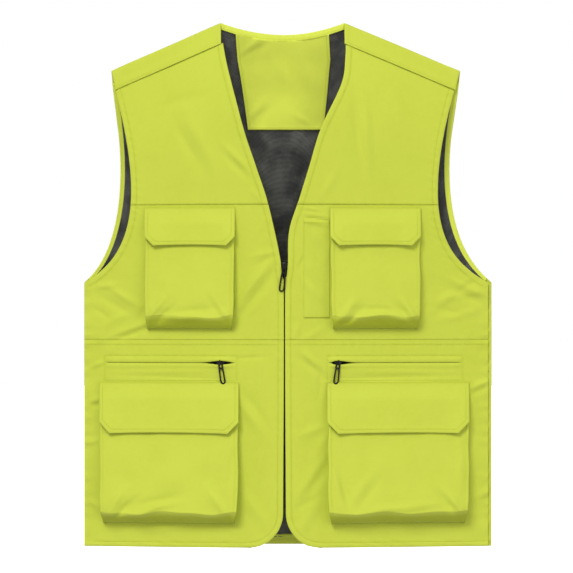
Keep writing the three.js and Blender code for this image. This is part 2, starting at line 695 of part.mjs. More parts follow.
// ---- Assembly ------------------------------------------------------------------------------------------
backYoke();
backPanel();
backLining();
neckBand();
backNeckFacing();
backHemFacing();
for (const side of sides) {
  shoulderYoke(side);
  chestPanel(side);
  armholeFacing('back', side, backOuter, backSurface, shoulderDrop + yokeWidth + 8, underarmDrop);
  armholeFacing('chest', side, frontOuter, frontSurface, shoulderDrop + yokeWidth + 8,
    chestSeamDrop - seamGap);
  armholeFacing('front', side, frontOuter, frontSurface, chestSeamDrop + seamGap, underarmDrop);
  middlePanel(side);
  lowerPanel(side);
  frontFacing(side);
  frontLining(side);
  frontZipTape(side);
  pocketZip(side);
  zipPocketBag(side);
  for (const pocket of [chestPocket, lowerPocket]) {
    pocketBag(pocket, side);
    pocketFlap(pocket, side);
    fasteners(pocket, side);
  }
}
penPocketBag(sides[1]);
zipEnds();
frontSlider();

export default vest;
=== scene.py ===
# %% [markdown]
# # A high visibility vest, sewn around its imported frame
#
# A work vest is a stack of flat cloth pieces: outer panels, a mesh lining inside them, facings along
# the edges, bellows pockets on top and zips between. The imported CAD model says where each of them
# is and how it moves, but its cloth is plain and smooth. This lesson keeps every place that the
# frame gives and makes each piece again as real cloth, with folds, stitches and weave.
#
# Blender works in metres. Cloth is easier to think about in millimetres, so the shapes below are in
# millimetres and turn into metres at the moment that a mesh is made.

import bpy
import numpy as np
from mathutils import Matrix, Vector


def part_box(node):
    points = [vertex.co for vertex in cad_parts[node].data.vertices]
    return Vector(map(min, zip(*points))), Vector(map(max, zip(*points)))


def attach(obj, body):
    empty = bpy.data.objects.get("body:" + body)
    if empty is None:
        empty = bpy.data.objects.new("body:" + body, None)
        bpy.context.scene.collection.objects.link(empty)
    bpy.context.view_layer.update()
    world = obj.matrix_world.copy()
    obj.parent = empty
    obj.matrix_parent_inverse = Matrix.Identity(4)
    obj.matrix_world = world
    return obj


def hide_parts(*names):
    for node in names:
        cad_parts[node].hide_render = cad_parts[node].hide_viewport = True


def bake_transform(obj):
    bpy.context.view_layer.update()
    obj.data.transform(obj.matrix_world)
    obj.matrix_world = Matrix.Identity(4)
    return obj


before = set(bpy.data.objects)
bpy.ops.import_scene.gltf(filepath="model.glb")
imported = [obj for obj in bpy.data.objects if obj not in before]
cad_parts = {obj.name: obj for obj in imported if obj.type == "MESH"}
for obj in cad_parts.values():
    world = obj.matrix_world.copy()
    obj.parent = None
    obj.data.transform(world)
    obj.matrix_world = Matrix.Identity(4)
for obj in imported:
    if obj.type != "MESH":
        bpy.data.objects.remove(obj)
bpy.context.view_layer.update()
MM = 0.001

# %% [markdown]
# ## The vest's own surface
#
# Worn or hung, the vest is a flat tube: its front and back stand apart in the middle and meet at the
# side seams and along the shoulders. Every panel lies on one of two smooth surfaces, y as a function
# of x and z, so neighbours always meet. The same formulas made the CAD parts, and the sizes that
# the frame can tell are read from it.

# %% Read the main places from the frame
def extent(node):
    """The lowest and the highest corner of a CAD node, in millimetres."""
    low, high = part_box(node)
    return np.array(low) / MM, np.array(high) / MM


SIDES = {"right": -1, "left": 1}  # the wearer's right hangs on the viewer's left, at negative x
SEAM_GAP = 0.25  # what the CAD leaves free beside each seam, so that no two panels touch
chest_half = round(extent("back_panel")[1][0])
hem_z = extent("back_panel")[0][2]
waist_z = extent("right_lower_panel")[1][2] + SEAM_GAP
chest_z = extent("right_middle_panel")[1][2] + SEAM_GAP
back_yoke_z = extent("back_yoke")[0][2]

# What the boxes of the nodes can't tell, as the CAD parts have it.
shoulder_tip = np.array([235.0, -65.0])
neck_half = 83.0      # from the centre line to a neck point
shoulder_run = 150.0  # how far below the ridge the vest reaches its full depth
torso_depth = 45.0    # how far front and back stand out from the side seams' plane
seam_fold = 1.4       # half the distance between front and back at a side seam
underarm_z = -347.0   # the top of a side seam
yoke_width = 28.0     # from the shoulder ridge down to a yoke seam
corner_radius = 46.0  # of the rounded corners at the hem
WAIST_OVERLAP = 3.5   # how far above the CAD's waist seam the visible one runs
print("hem", hem_z, "waist", waist_z, "chest seam", chest_z, "half width", chest_half)


# %% The front and back surfaces
def smooth(share):
    """0 below 0, 1 above 1 and an S curve between: 3 t squared minus 2 t cubed."""
    share = np.clip(share, 0, 1)
    return share * share * (3 - 2 * share)


def bump(distance, width):
    """A bell, 1 at distance 0: e to the minus distance over width, squared."""
    return np.exp(-(distance / width) ** 2)


def ridge(x):
    """The height of the shoulder ridge, a straight line from the neck point down to the tip."""
    return (neck_half - np.abs(x)) * -shoulder_tip[1] / (shoulder_tip[0] - neck_half)


def across(x):
    """1 at the centre line and 0 at the side seams, by a hyperbola that is straight near them."""
    softness = 0.3
    bend = np.hypot(x / chest_half, softness) - softness
    return 1 - bend / (np.hypot(1, softness) - softness)


def below_shoulder(x, z):
    """0 on the shoulder ridge and 1 from shoulder_run below it, by a quarter of a sine."""
    return np.sin(np.clip((ridge(x) - z) / shoulder_run, 0, 1) * np.pi / 2)


def front_y(x, z):
    """The front stands out by the torso's depth, less towards the seams and the shoulders."""
    return -seam_fold - torso_depth * across(x) * below_shoulder(x, z)


FLAT_FROM = 0.75  # the back is flat wherever the hyperbola is higher than this


def back_y(x, z):
    """The back is as deep as the front, but cut off flat in its middle."""
    return seam_fold + torso_depth * np.minimum(1, across(x) / FLAT_FROM) * below_shoulder(x, z)


print("front and back at the chest:", front_y(0.0, -300.0).round(1), back_y(0.0, -300.0).round(1))


# %% Edges as smooth curves
def through(points, steps):
    """A curve through the points: between two of them, a cubic whose slopes come from their
    neighbours (Catmull and Rom's rule)."""
    p = np.array(points, float)
    p = np.vstack([2 * p[0] - p[1], p, 2 * p[-1] - p[-2]])
    t = np.linspace(0, 1, steps, endpoint=False)[:, None]
    parts = [0.5 * (2 * b + (c - a) * t + (2 * a - 5 * b + 4 * c - d) * t**2
                    + (3 * b - a - 3 * c + d) * t**3)
             for a, b, c, d in zip(p[:-3], p[1:-2], p[2:-1], p[3:])]
    return np.vstack([*parts, p[-2]])


def bezier(a, b, c, d):
    """A cubic Bezier curve from a to d, pulled towards b and c, as 120 points."""
    t = np.linspace(0, 1, 120)[:, None]
    a, b, c, d = (np.array(point, float) for point in (a, b, c, d))
    return (1 - t) ** 3 * a + 3 * (1 - t) ** 2 * t * b + 3 * (1 - t) * t**2 * c + t**3 * d


def armhole(half, drop, upper_pull, lower_pull):
    """From the shoulder tip in to its narrowest place, half from the centre line and drop below
    the neck points, then out to the top of the side seam. The pulls bend the two curves."""
    upper, lower, reach = drop + shoulder_tip[1], -underarm_z - drop, chest_half - half
    first = bezier(shoulder_tip, [shoulder_tip[0] * (1 - upper_pull) + upper_pull * half,
                                  shoulder_tip[1] - 0.28 * upper],
                   [half, -drop + 0.36 * upper], [half, -drop])
    second = bezier([half, -drop], [half, -drop - lower_pull * lower],
                    [half + 0.3 * reach, underarm_z + 0.2 * lower], [chest_half, underarm_z])
    return np.vstack([first, second[1:]])


def x_at(edge, z):
    """The x of an edge that runs downwards, at the height z."""
    return np.interp(-np.asarray(z, float), -edge[:, 1], edge[:, 0])


front_hole = armhole(205, 225, 0.45, 0.5)
back_hole = armhole(221, 195, 0.35, 0.45)
print("armholes have", len(front_hole), "points each, at their narrowest",
      front_hole[:, 0].min().round(1), "and", back_hole[:, 0].min().round(1))

# %% [markdown]
# The two fronts are not quite alike. The wearer's right one lies in a straight line from the neck to
# the slider, and the left one hangs plumb first and then sweeps in. Both part round the slider, come
# together over the zip, part again towards the hem and end in a rounded corner.

# %% The inner edge of each front
zip_edge_half = 0.9   # from the centre line to a front's edge over the zip
corner_flare = 0.9    # how much further out the corner's curve starts
neck_line = {
    "right": [(83, 0), (82, -12), (74.2, -62), (55.4, -139), (38, -192), (23.4, -236), (11, -288),
              (5.2, -318)],
    "left": [(83, 0), (84, -22), (83, -45), (76.8, -81), (48.7, -141), (33, -192), (19.4, -236),
             (8.5, -268), (5, -290), (4.6, -318)],
}
slider_gap = {"right": [(4.7, -322), (3.9, -332), (1.9, -342)], "left": [(4.4, -324), (3, -338)]}


def front_edge(name):
    """The neck line, the gap round the slider, the zip edge and the quarter circle at the hem."""
    corner_top = hem_z + corner_radius
    turn = np.linspace(0, np.pi / 2, 40)
    start = zip_edge_half + corner_flare
    corner = np.column_stack([start + corner_radius * (1 - np.cos(turn)),
                              corner_top - corner_radius * np.sin(turn)])
    straight = [(zip_edge_half, -356), (zip_edge_half, -480), (zip_edge_half + 0.5, -580)]
    line = through([*neck_line[name], *slider_gap[name], *straight, tuple(corner[0])], 24)
    return np.vstack([line, corner[1:]])


front_inner = {name: front_edge(name) for name in SIDES}


def front_outer(z):
    """The armhole, and the side seam below it."""
    return np.minimum(x_at(front_hole, z), chest_half - SEAM_GAP)


def back_outer(z):
    """The back's wider armhole, and the side seam below it."""
    return np.minimum(x_at(back_hole, z), chest_half - SEAM_GAP)


def seam_end(edge, drop):
    """The height where an edge meets a line that runs drop below the ridge, by repeated tries."""
    z = shoulder_tip[1] - drop
    for _ in range(12):
        z = ridge(edge(z)) - drop
    return float(z)


NECK_DIP = 15  # how far the back of the neck lies below the neck points


def back_neck(x):
    """The back of the neck dips in a parabola."""
    return -NECK_DIP * (1 - (x / neck_half) ** 2)


print("yoke seam ends at", round(seam_end(front_outer, yoke_width), 1))

# %% [markdown]
# ## Cloth that has been worn and packed
#
# Cloth is never as smooth as its pattern. Three things are added to the surfaces, each as a height
# in millimetres over x and z: single folds where the cloth is pulled, such as beside the slider and
# under the arms; slow waves over a whole panel; and the small puckers that a row of stitches draws
# in. A simulation would give folds too, but not at chosen places, and it would move the seams.

# %% Folds, waves and puckers
TURN = 6.28  # about a full turn, in radians


def fold(x, z, at, angle, long, wide, height):
    """A ridge at a place: a bell along its direction, in degrees from +x, times one across it."""
    turn = np.radians(angle)
    along = (x - at[0]) * np.cos(turn) + (z - at[1]) * np.sin(turn)
    aside = (z - at[1]) * np.cos(turn) - (x - at[0]) * np.sin(turn)
    return height * bump(along, long) * bump(aside, wide)


def waves(x, z, seed, lengths=(55, 150), count=9, height=1.0):
    """A sum of sines in random directions, always the same ones for one seed."""
    draw = np.random.default_rng(seed)
    total = 0.0
    for _ in range(count):
        turn, length, start = draw.uniform(0, np.pi), draw.uniform(*lengths), draw.uniform(0, TURN)
        total = total + np.sin((x * np.cos(turn) + z * np.sin(turn)) * TURN / length + start)
    return height * total / np.sqrt(count)


def pucker(along, away, pitch, reach, height):
    """Ripples beside a seam: a sine along it with an uneven pitch, fading with the distance."""
    phase = along * TURN / pitch + 1.7 * np.sin(along / 17) + 0.9 * np.sin(along / 7.3 + 1)
    return height * np.sin(phase) * bump(away, reach)


def distance(x, z, line):
    """From each grid point to the nearest point of a line of close points, which is taken in
    parts of about 60 points so that the table of gaps stays small."""
    shape = np.broadcast(x, z).shape
    here = np.column_stack([np.broadcast_to(x, shape).ravel(), np.broadcast_to(z, shape).ravel()])
    best = np.full(len(here), 1e9)
    for part in np.array_split(line, max(1, len(line) // 60)):
        gap = here[:, None, :] - part[None, :, :]
        best = np.minimum(best, (gap * gap).sum(2).min(1))
    return np.sqrt(best).reshape(shape)


def evenly(line, step):
    """The same line with points at an even step along it."""
    lengths = np.concatenate([[0], np.cumsum(np.linalg.norm(np.diff(line, axis=0), axis=1))])
    at = np.linspace(0, lengths[-1], max(2, int(lengths[-1] / step)))
    return np.column_stack([np.interp(at, lengths, line[:, k]) for k in range(line.shape[1])])


print("a fold is", fold(3.0, 0.0, (0, 0), 90, 20, 6, 2.0).round(2), "mm high 3 mm beside its crest")

# %% [markdown]
# ## The folds of each front
#
# Each fold is written as its place, its direction and its half length, half width and height. The
# deepest run from the slider, where the closed zip pulls on the open neck, and from the underarms.
# A ridge with a valley beside it reads as one crisp fold. All of them share one strength and one
# slimness, so that the whole vest can be made crisper or calmer in one place.

# %% Folds, front by front
shell_folds = {
    "right": [
        ((-43, -350), 51, 34, 5.5, 2.6), ((-37, -364), 50, 38, 6, -2.0), ((-62, -383), 47, 22, 7, 1.2),
        ((-61, -184), -45, 22, 4.5, 1.5), ((-66, -191), -45, 20, 5, -1.2), ((-36, -233), -45, 9, 3.5, 1.1),
        ((-129, -164), -61, 36, 9, -1.6), ((-113, -158), -63, 34, 10, 1.4), ((-136, -104), 14, 34, 9, -1.3),
        ((-214, -367), -31, 26, 5.5, 1.9), ((-226, -378), -28, 24, 6, -1.4), ((-243, -352), 6, 18, 4, 1.4),
        ((-201, -407), 19, 28, 4, 2.0), ((-198, -414), 19, 26, 4, -1.6), ((-190, -388), 62, 12, 5, -1.0),
        ((-26, -309), 12, 20, 4, 1.1), ((-24, -317), 24, 18, 3.5, -1.0), ((-18, -334), 60, 9, 2.6, -0.9),
        ((-46, -524), -56, 26, 8, 1.6), ((-38, -516), -56, 24, 7, -1.2), ((-255, -457), 24, 11, 4, 1.6),
        ((-256, -504), 14, 11, 4, 1.9), ((-255, -511), 14, 10, 4, -1.4), ((-256, -645), -35, 13, 5, 1.7),
        ((-39, -650), -53, 34, 9, 1.3), ((-34, -470), 88, 18, 4, 0.8), ((-46, -447), 3, 18, 3.5, -0.8),
        ((-165, -675), 8, 40, 8, 0.9), ((-250, -420), 70, 14, 5, 1.0), ((-24, -262), 60, 22, 5, 0.9),
        ((-160, -466), 1, 62, 3.2, 0.8), ((-150, -473), -2, 70, 3, -0.6), ((-20, -300), 78, 20, 4, -0.8),
        ((-264, -331), -18, 9, 3, 1.6), ((-248, -388), -30, 16, 4, -1.1), ((-225, -396), 24, 22, 5, 1.0),
        ((-236, -440), 62, 12, 4, 1.1), ((-262, -560), 10, 12, 4, 1.2), ((-30, -590), 84, 30, 5, 0.8),
    ],
    "left": [
        ((110, -152), -86, 46, 7, 1.7), ((97, -146), -84, 42, 8, -1.6), ((150, -112), -70, 34, 10, 1.1),
        ((13, -327), 68, 11, 2.6, -1.5), ((17, -322), 62, 12, 2.8, 1.5), ((23, -318), 70, 9, 2.4, -1.2),
        ((9, -350), 84, 16, 2.8, -1.0), ((32, -352), -50, 18, 5, 0.9),
        ((250, -356), -25, 30, 5.5, 1.9), ((244, -366), -25, 28, 6, -1.5), ((236, -364), 11, 36, 6, 1.1),
        ((42, -258), -7, 15, 2.6, 1.4), ((44, -263), -9, 15, 2.6, -1.4), ((36, -249), -14, 10, 3, 0.8),
        ((38, -451), -39, 20, 5, 1.4), ((34, -459), -39, 18, 5, -1.2), ((16, -412), 70, 12, 4, 1.0),
        ((36, -604), 57, 36, 6.5, 1.3), ((45, -609), 57, 34, 7, -1.1), ((38, -544), 22, 18, 6, 1.3),
        ((262, -484), 24, 14, 5, 1.9), ((260, -491), 24, 13, 5, -1.4), ((266, -631), 30, 11, 5, 1.6),
        ((234, -391), 14, 28, 6, 1.2), ((48, -478), 84, 22, 4, -0.9), ((150, -672), 176, 44, 8, 0.9),
        ((30, -664), 60, 26, 7, 1.0), ((40, -415), 30, 20, 5, 0.9), ((60, -216), 60, 20, 6, 0.9),
        ((150, -466), -1, 64, 3.2, 0.9), ((146, -473), 1, 72, 3, -0.8), ((152, -480), 0, 60, 2.8, 0.6),
        ((258, -338), 28, 18, 4, 1.7), ((252, -346), 30, 18, 4, -1.2), ((212, -372), 40, 26, 6, 1.1),
        ((222, -386), -14, 24, 5, -1.0), ((52, -560), 60, 34, 7, 0.9), ((30, -640), 30, 16, 4, -1.0),
    ],
}
print(sum(map(len, shell_folds.values())), "folds")


# %% The outline's rows of stitches
STITCH_IN = 7.6   # how far inside an edge its row of stitches runs
HEM_STITCH = 6.8  # and how far above the hem
LINE_STEP = 2.0   # between the points of a line that distances are measured to


def outline(name):
    """The front's sewn edges in one line: neck, zip edge, hem corner and hem."""
    edge = front_inner[name]
    hem = np.column_stack([np.linspace(edge[-1, 0], chest_half, 120), np.full(120, hem_z)])
    return evenly(np.vstack([edge, hem]), LINE_STEP)


outlines = {name: outline(name) for name in SIDES}
hole_line = evenly(front_hole, LINE_STEP)
back_hole_line = evenly(back_hole, LINE_STEP)


def edge_relief(away, inside=STITCH_IN):
    """A turned edge: it rolls down at the very edge, is thick up to its stitches, and the
    stitches press a groove."""
    raised = 0.55 * (1 - smooth((away - inside) / 2.2))
    return raised - 0.9 * bump(away, 1.3) - 0.5 * bump(away - inside, 1.1)


print("the right front's sewn edge is", len(outlines["right"]) * LINE_STEP / 1000, "m long")


# %% The height of the front's cloth
FOLD_STRENGTH, FOLD_SLIMNESS = 1.35, 0.82  # of all folds, in height and in width
zip_box = {name: extent(f"{name}_pocket_zip_tape") for name in SIDES}
slit_z = float(zip_box["right"][0][2] + zip_box["right"][1][2]) / 2
slit_ends = {name: np.sort(np.abs([zip_box[name][0][0], zip_box[name][1][0]])) for name in SIDES}
runner_x = {name: abs(float(sum(corner[0] for corner in extent(f"{name}_pocket_zip_slider")))) / 2
            for name in SIDES}
FRAME_UP, FRAME_DOWN = 9.4, -23.4  # the stitched frame round a slit, above and below it
RUNNER_REACH = 14  # how far along the slit its slider parts the lips


def slit_frame(name):
    """The rectangle of stitches round a pocket zip, as a line of points at |x| and z."""
    start, end = slit_ends[name]
    top, bottom = slit_z + FRAME_UP, slit_z + FRAME_DOWN
    corners = [(end + 2, bottom), (end + 2, top), (start - 3, top), (start - 3, bottom)]
    return evenly(np.array(corners), LINE_STEP)


def front_relief(x, z, name):
    """Everything that lifts the front's cloth off its smooth surface, in millimetres."""
    sign = SIDES[name]
    to_edge = distance(np.abs(x), z, outlines[name])
    to_hole = distance(np.abs(x), z, hole_line)
    height = FOLD_STRENGTH * sum(fold(x, z, at, angle, long, FOLD_SLIMNESS * wide, high)
                                 for at, angle, long, wide, high in shell_folds[name])
    height = height + waves(x, z, 7 + sign, height=0.32) + waves(x, z, 31, (18, 40), 7, 0.07)
    calm = smooth(np.minimum(to_edge, to_hole) / 16) * smooth((ridge(x) - yoke_width - z) / 14)
    height = height * calm
    along = z + 0.35 * x
    height = height + pucker(along, to_edge - 6, 13, 6, 0.22) * smooth((to_edge - 1) / 3)
    height = height + pucker(along, to_hole - 6, 12, 7, 0.3) * smooth((to_hole - 1) / 3)
    height = height + pucker(z, chest_half - np.abs(x), 19, 13, 0.55) * (z < underarm_z - 8)
    height = height + pucker(x, z - chest_z, 14, 8, 0.28) + pucker(x, z - waist_z, 16, 9, 0.35)
    height = height + edge_relief(to_edge, np.where(z < hem_z + 12, HEM_STITCH, STITCH_IN))
    height = height + edge_relief(to_hole)
    frame_away = distance(np.abs(x), z, slit_frame(name))
    height = height - 0.55 * bump(frame_away, 1.1) + pucker(x, frame_away, 9, 4, 0.12)
    start, end = slit_ends[name]
    inside = smooth((np.abs(x) - start + 3) / 6) * smooth((end + 3 - np.abs(x)) / 6)
    lips = inside * (bump(z - slit_z - 4, 3.2) + bump(z - slit_z + 4, 3.2))
    lips_at_runner = 1 + 1.4 * bump(np.abs(x) - runner_x[name], RUNNER_REACH)
    return height + 0.9 * lips * lips_at_runner


def seam_shade_depth(x, z, name):
    """How much painted shade seams and stitches put on the cloth, from 0 to 1: bells round each sewn line.
    """
    to_edge = distance(np.abs(x), z, outlines[name])
    to_hole = distance(np.abs(x), z, hole_line)
    rows = bump(to_edge - STITCH_IN, 1.2) + bump(to_hole - STITCH_IN, 1.2)
    seams = (bump(z - chest_z, 1.4) + 0.8 * bump(z - waist_z - WAIST_OVERLAP, 1.2)
             + 0.8 * bump(z - waist_z + 2.5, 1.2))
    frame_row = bump(distance(np.abs(x), z, slit_frame(name)), 1.2)
    return np.clip(0.3 * rows + 0.4 * seams + 0.4 * frame_row, 0, 1)


def front_cloth(x, z, name):
    """The y of the front's outer face."""
    return front_y(x, z) - front_relief(x, z, name)


print("slit at", round(slit_z, 1), "from", slit_ends["right"], "runners at", runner_x)

# %% [markdown]
# ## From numbers to a mesh
#
# A grid of points becomes a mesh in one helper. It also lays a UV map named cloth, in metres along
# the threads, so a weave keeps its size whatever the panel does, and it stores the seam shading as a
# point attribute. Solidify gives the cloth its thickness and closes its rim. The whole vest hangs a
# few millimetres to one side at its side seams, and one small shift does that for every piece, apart
# from those of the left front: they would leave their hinge and cut through the back when they swing.

# %% Grids become cloth
def hang(points):
    """Shifts x: up to 4.6 mm towards +x near the side seams, except at the left front, and up to
    2.5 mm towards -x at the neck points."""
    x, y, z = points[..., 0], points[..., 1], points[..., 2]
    is_front = y.mean() < -0.5
    aside = 4.6 * smooth((np.abs(x) - 205) / 68) * np.where((x > 0) & is_front, 0, 1)
    neck = -2.5 * bump(np.abs(x) - neck_half, 60) * smooth((z + 120) / 120)
    moved = points.copy()
    moved[..., 0] = x + aside + neck
    return moved


def thread_lengths(points):
    """Along each row and down each column, the running sum of the distances between points."""
    along = np.linalg.norm(np.diff(points, axis=1), axis=2).cumsum(axis=1)
    down = np.linalg.norm(np.diff(points, axis=0), axis=2).cumsum(axis=0)
    u = np.pad(along, ((0, 0), (1, 0)))
    v = np.pad(down, ((1, 0), (0, 0)))
    return u - u[:, u.shape[1] // 2][:, None], -v  # u counts from the middle column


def quads_of(rows, columns, ring=False):
    """The corners of the quads between neighbours of a grid, closed round the columns or not."""
    number = np.arange(rows * columns).reshape(rows, columns)
    if ring:
        number = np.hstack([number, number[:, :1]])
    return np.stack([number[:-1, :-1], number[1:, :-1], number[1:, 1:], number[:-1, 1:]], axis=-1)


def new_mesh(name, vertices, faces, material):
    """A smooth mesh object from arrays of points in metres and of quad corners."""
    mesh = bpy.data.meshes.new(name)
    mesh.from_pydata(vertices.reshape(-1, 3).tolist(), [], faces.reshape(-1, faces.shape[-1]).tolist())
    mesh.polygons.foreach_set("use_smooth", np.ones(len(mesh.polygons), bool))
    mesh.materials.append(material)
    made = bpy.data.objects.new(name, mesh)
    bpy.context.scene.collection.objects.link(made)
    return made


def facing_out(points, faces, out):
    """The faces, turned round if most of them look away from the direction out."""
    p = points.reshape(-1, 3)
    q = faces.reshape(-1, 4)
    normals = np.cross(p[q[:, 2]] - p[q[:, 0]], p[q[:, 3]] - p[q[:, 1]])
    return faces if (normals @ np.array(out, float)).sum() > 0 else faces[..., ::-1]


def cloth(name, points, out, thick, material, seam=None, keep=None, flat=None):
    """A grid of points in millimetres as a cloth piece with a thickness; its sizes are printed."""
    flat_points = points if flat is None else flat
    points = hang(points)
    faces = quads_of(*points.shape[:2])
    if keep is not None:
        faces = faces[keep]
    faces = facing_out(points, faces, out)
    made = new_mesh(name, points * MM, faces, material)
    u, v = thread_lengths(points)
    corners = faces.reshape(-1)
    uv = np.column_stack([u.reshape(-1)[corners], v.reshape(-1)[corners]]) * MM
    made.data.uv_layers.new(name="cloth").data.foreach_set("uv", uv.astype(np.float32).ravel())
    # The seam values are painted shade; they go on as a point attribute that the shell's colour reads.
    shading = np.zeros(points.shape[:2]) + (0 if seam is None else seam)
    made.data.attributes.new("seam", "FLOAT", "POINT").data.foreach_set(
        "value", shading.astype(np.float32).ravel())
    wall = made.modifiers.new("thickness", "SOLIDIFY")
    wall.thickness, wall.offset = thick * MM, -1
    declare(made, flat_points, keep)
    return made


LEAST_AREA = 0.301


def declare(made, points, keep):
    across_steps = np.linalg.norm(np.diff(points, axis=1), axis=2)
    down_steps = np.linalg.norm(np.diff(points, axis=0), axis=2)
    width, length = across_steps.sum(1).max() * MM, down_steps.sum(0).max() * MM
    diagonals = np.cross(points[1:, 1:] - points[:-1, :-1], points[1:, :-1] - points[:-1, 1:])
    cells = np.linalg.norm(diagonals, axis=2) / 2
    area = (cells.sum() if keep is None else cells[keep].sum()) * MM * MM
    area = float(np.clip(area, LEAST_AREA * width * length, width * length))
    print(f"{made.name}: {width * 1000:.0f} x {length * 1000:.0f} mm, {area * 1e4:.0f} cm2")


def settle(piece, body, slot, *nodes):
    """The piece rides on a body and stands for CAD nodes, which are hidden; its finish slot is not used."""
    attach(piece, body)
    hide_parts(*nodes)
    return piece


def bend_with(piece, name, slot, *nodes):
    """A chest piece: its CAD nodes are hidden and its place is baked into its mesh."""
    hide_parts(*nodes)
    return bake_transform(piece)


print("a grid of 3 rows and 4 columns has", len(quads_of(3, 4).reshape(-1, 4)), "quads")

# %% [markdown]
# ## Materials as arithmetic
#
# A woven cloth is arithmetic on its thread lengths: a sine across, a sine along, their product for
# the over and under. Blender does arithmetic with Math nodes, and a small class that wraps a socket
# lets them be written as ordinary sums. Any other node comes from one method.

# %% Sockets that add up
class Wire:
    """One output of a material's nodes. Arithmetic on it adds Math nodes."""

    def __init__(self, finish, socket):
        self.finish, self.socket = finish, socket

    def maths(self, operation, *values):
        """A Math node with these inputs."""
        return self.finish.node("ShaderNodeMath", {"operation": operation}, dict(enumerate(values)))

    def __add__(self, other):
        return self.maths("ADD", self, other)

    def __sub__(self, other):
        return self.maths("SUBTRACT", self, other)

    def __rsub__(self, other):
        return self.maths("SUBTRACT", other, self)

    def __mul__(self, other):
        return self.maths("MULTIPLY", self, other)

    def sine(self):
        """The sine of the value, in radians."""
        return self.maths("SINE", self)

    def step(self, start, end):
        """0 below start, 1 above end and a straight line between."""
        return self.finish.node("ShaderNodeMapRange", {"clamp": True},
                                {"Value": self, "From Min": start, "From Max": end})

    __radd__ = __add__
    __rmul__ = __mul__


class Finish:
    """A material, its shader's constants and the nodes that feed it."""

    def __init__(self, name, **constants):
        self.material = bpy.data.materials.new(name)
        self.material.use_nodes = True
        self.tree = self.material.node_tree
        self.shader = self.tree.nodes["Principled BSDF"]
        for socket, value in constants.items():
            self.shader.inputs[socket.replace("_", " ")].default_value = value

    def node(self, kind, settings=None, sockets=None, output=0):
        """Any node: its settings first, then the values or links of its sockets."""
        made = self.tree.nodes.new(kind)
        for name, value in (settings or {}).items():
            setattr(made, name, value)
        for name, value in (sockets or {}).items():
            self.feed(made.inputs[name], value)
        return Wire(self, made.outputs[output])

    def feed(self, socket, value):
        """Links a wire to a socket, or sets a plain value on it."""
        if isinstance(value, Wire):
            self.tree.links.new(value.socket, socket)
        else:
            socket.default_value = value

    def mix(self, first, second, share):
        """Two colours in one, by a Mix node."""
        return self.node("ShaderNodeMix", {"data_type": "RGBA"}, {0: share, 6: first, 7: second}, 2)

    def threads(self):
        """The cloth's own lengths across and down, in millimetres."""
        uv = self.node("ShaderNodeUVMap", {"uv_map": "cloth"})
        scaled = self.node("ShaderNodeVectorMath", {"operation": "SCALE"}, {0: uv, "Scale": 1000.0})
        parts = self.node("ShaderNodeSeparateXYZ", {}, {0: scaled})
        return scaled, parts, Wire(self, parts.socket.node.outputs[1])

    def noise(self, place, scale, detail=3.0, rough=0.5):
        """Clouds around 0.5: the lower the scale, the larger they are."""
        return self.node("ShaderNodeTexNoise", {}, {"Vector": place, "Scale": scale,
                                                    "Detail": detail, "Roughness": rough})

    def dress(self, colour, roughness, height, strength, distance):
        """Links the colour, the roughness and a bump to the shader."""
        self.feed(self.shader.inputs["Base Color"], colour)
        self.feed(self.shader.inputs["Roughness"], roughness)
        bumped = self.node("ShaderNodeBump", {}, {"Height": height, "Strength": strength,
                                                  "Distance": distance * MM})
        self.feed(self.shader.inputs["Normal"], bumped)
        print("material", self.material.name, "has", len(self.tree.nodes), "nodes")
        return self.material


def shade(red, green, blue):
    """A colour socket's four numbers: the last is its opacity."""
    return (red, green, blue, 1.0)


FULL_TURN = 6.2832  # in radians, for a sine that repeats once a pitch


# %% [markdown]
# ## The cloths
#
# The shell is a plain-woven polyester in fluorescent yellow green. Close up it shows its threads;
# from further off only a slight unevenness is left. Seams collect shadow, so the seam attribute
# deepens the colour there as painted shade, and paints shade on the pockets' gussets and
# undersides too. The pockets and flaps are the same cloth, a little brighter because they are
# doubled. The lining is a black knitted net, with rows of open holes between soft cords.

# %% Woven shell
def woven(name, colour, deep, pitch=0.62):
    """Plain weave: the product of a sine across and a sine along, with uneven threads."""
    made = Finish(name, Specular_IOR_Level=0.16, Sheen_Weight=0.08, Sheen_Roughness=0.5)
    place, across_cloth, down_cloth = made.threads()
    slub = made.noise(place, 0.35, 2.0)
    turn = FULL_TURN / pitch
    warp = (across_cloth * turn + slub * 1.5).sine()
    weft = (down_cloth * turn + slub * 1.5).sine()
    weave = warp * weft * 0.5 + 0.5
    cloud = made.noise(place, 0.012, 4.0, 0.6)
    streak = made.noise(place, 0.12, 5.0, 0.65)
    # The seam attribute is painted shade: it pulls the colour towards deep along seams and stitches, on
    # pocket gussets and under the pockets.
    seam = made.node("ShaderNodeAttribute", {"attribute_name": "seam"}, {}, "Fac")
    tone_and_painted_shade = cloud * 0.42 + streak * 0.22 + weave * 0.1 + seam * 0.62 - 0.34
    toned_and_shaded = made.mix(shade(*colour), shade(*deep), tone_and_painted_shade.step(0.0, 1.0))
    height = weave + slub * 0.8 + streak * 1.6
    return made.dress(toned_and_shaded, 0.74 + weave * 0.08 + streak * 0.08, height, 0.35, 0.12)


shell = woven("shell_cloth", (0.60, 0.675, 0.068), (0.40, 0.46, 0.0))
pocket_shell = woven("pocket_cloth", (0.60, 0.675, 0.07), (0.40, 0.46, 0.0))
# The facing is the shell's lime painted about a third lighter: painted light for the dim insides of the
# neck and armholes.
lit_facing = woven("facing_cloth", (0.79, 0.88, 0.10), (0.48, 0.56, 0.03), 0.7)


# %% Knitted net
NET_PITCH = 2.7    # from one hole to the next along a row, and 1.25 times that down
CORD_SHINE = 2.6   # how much lighter the cords are where they catch the light


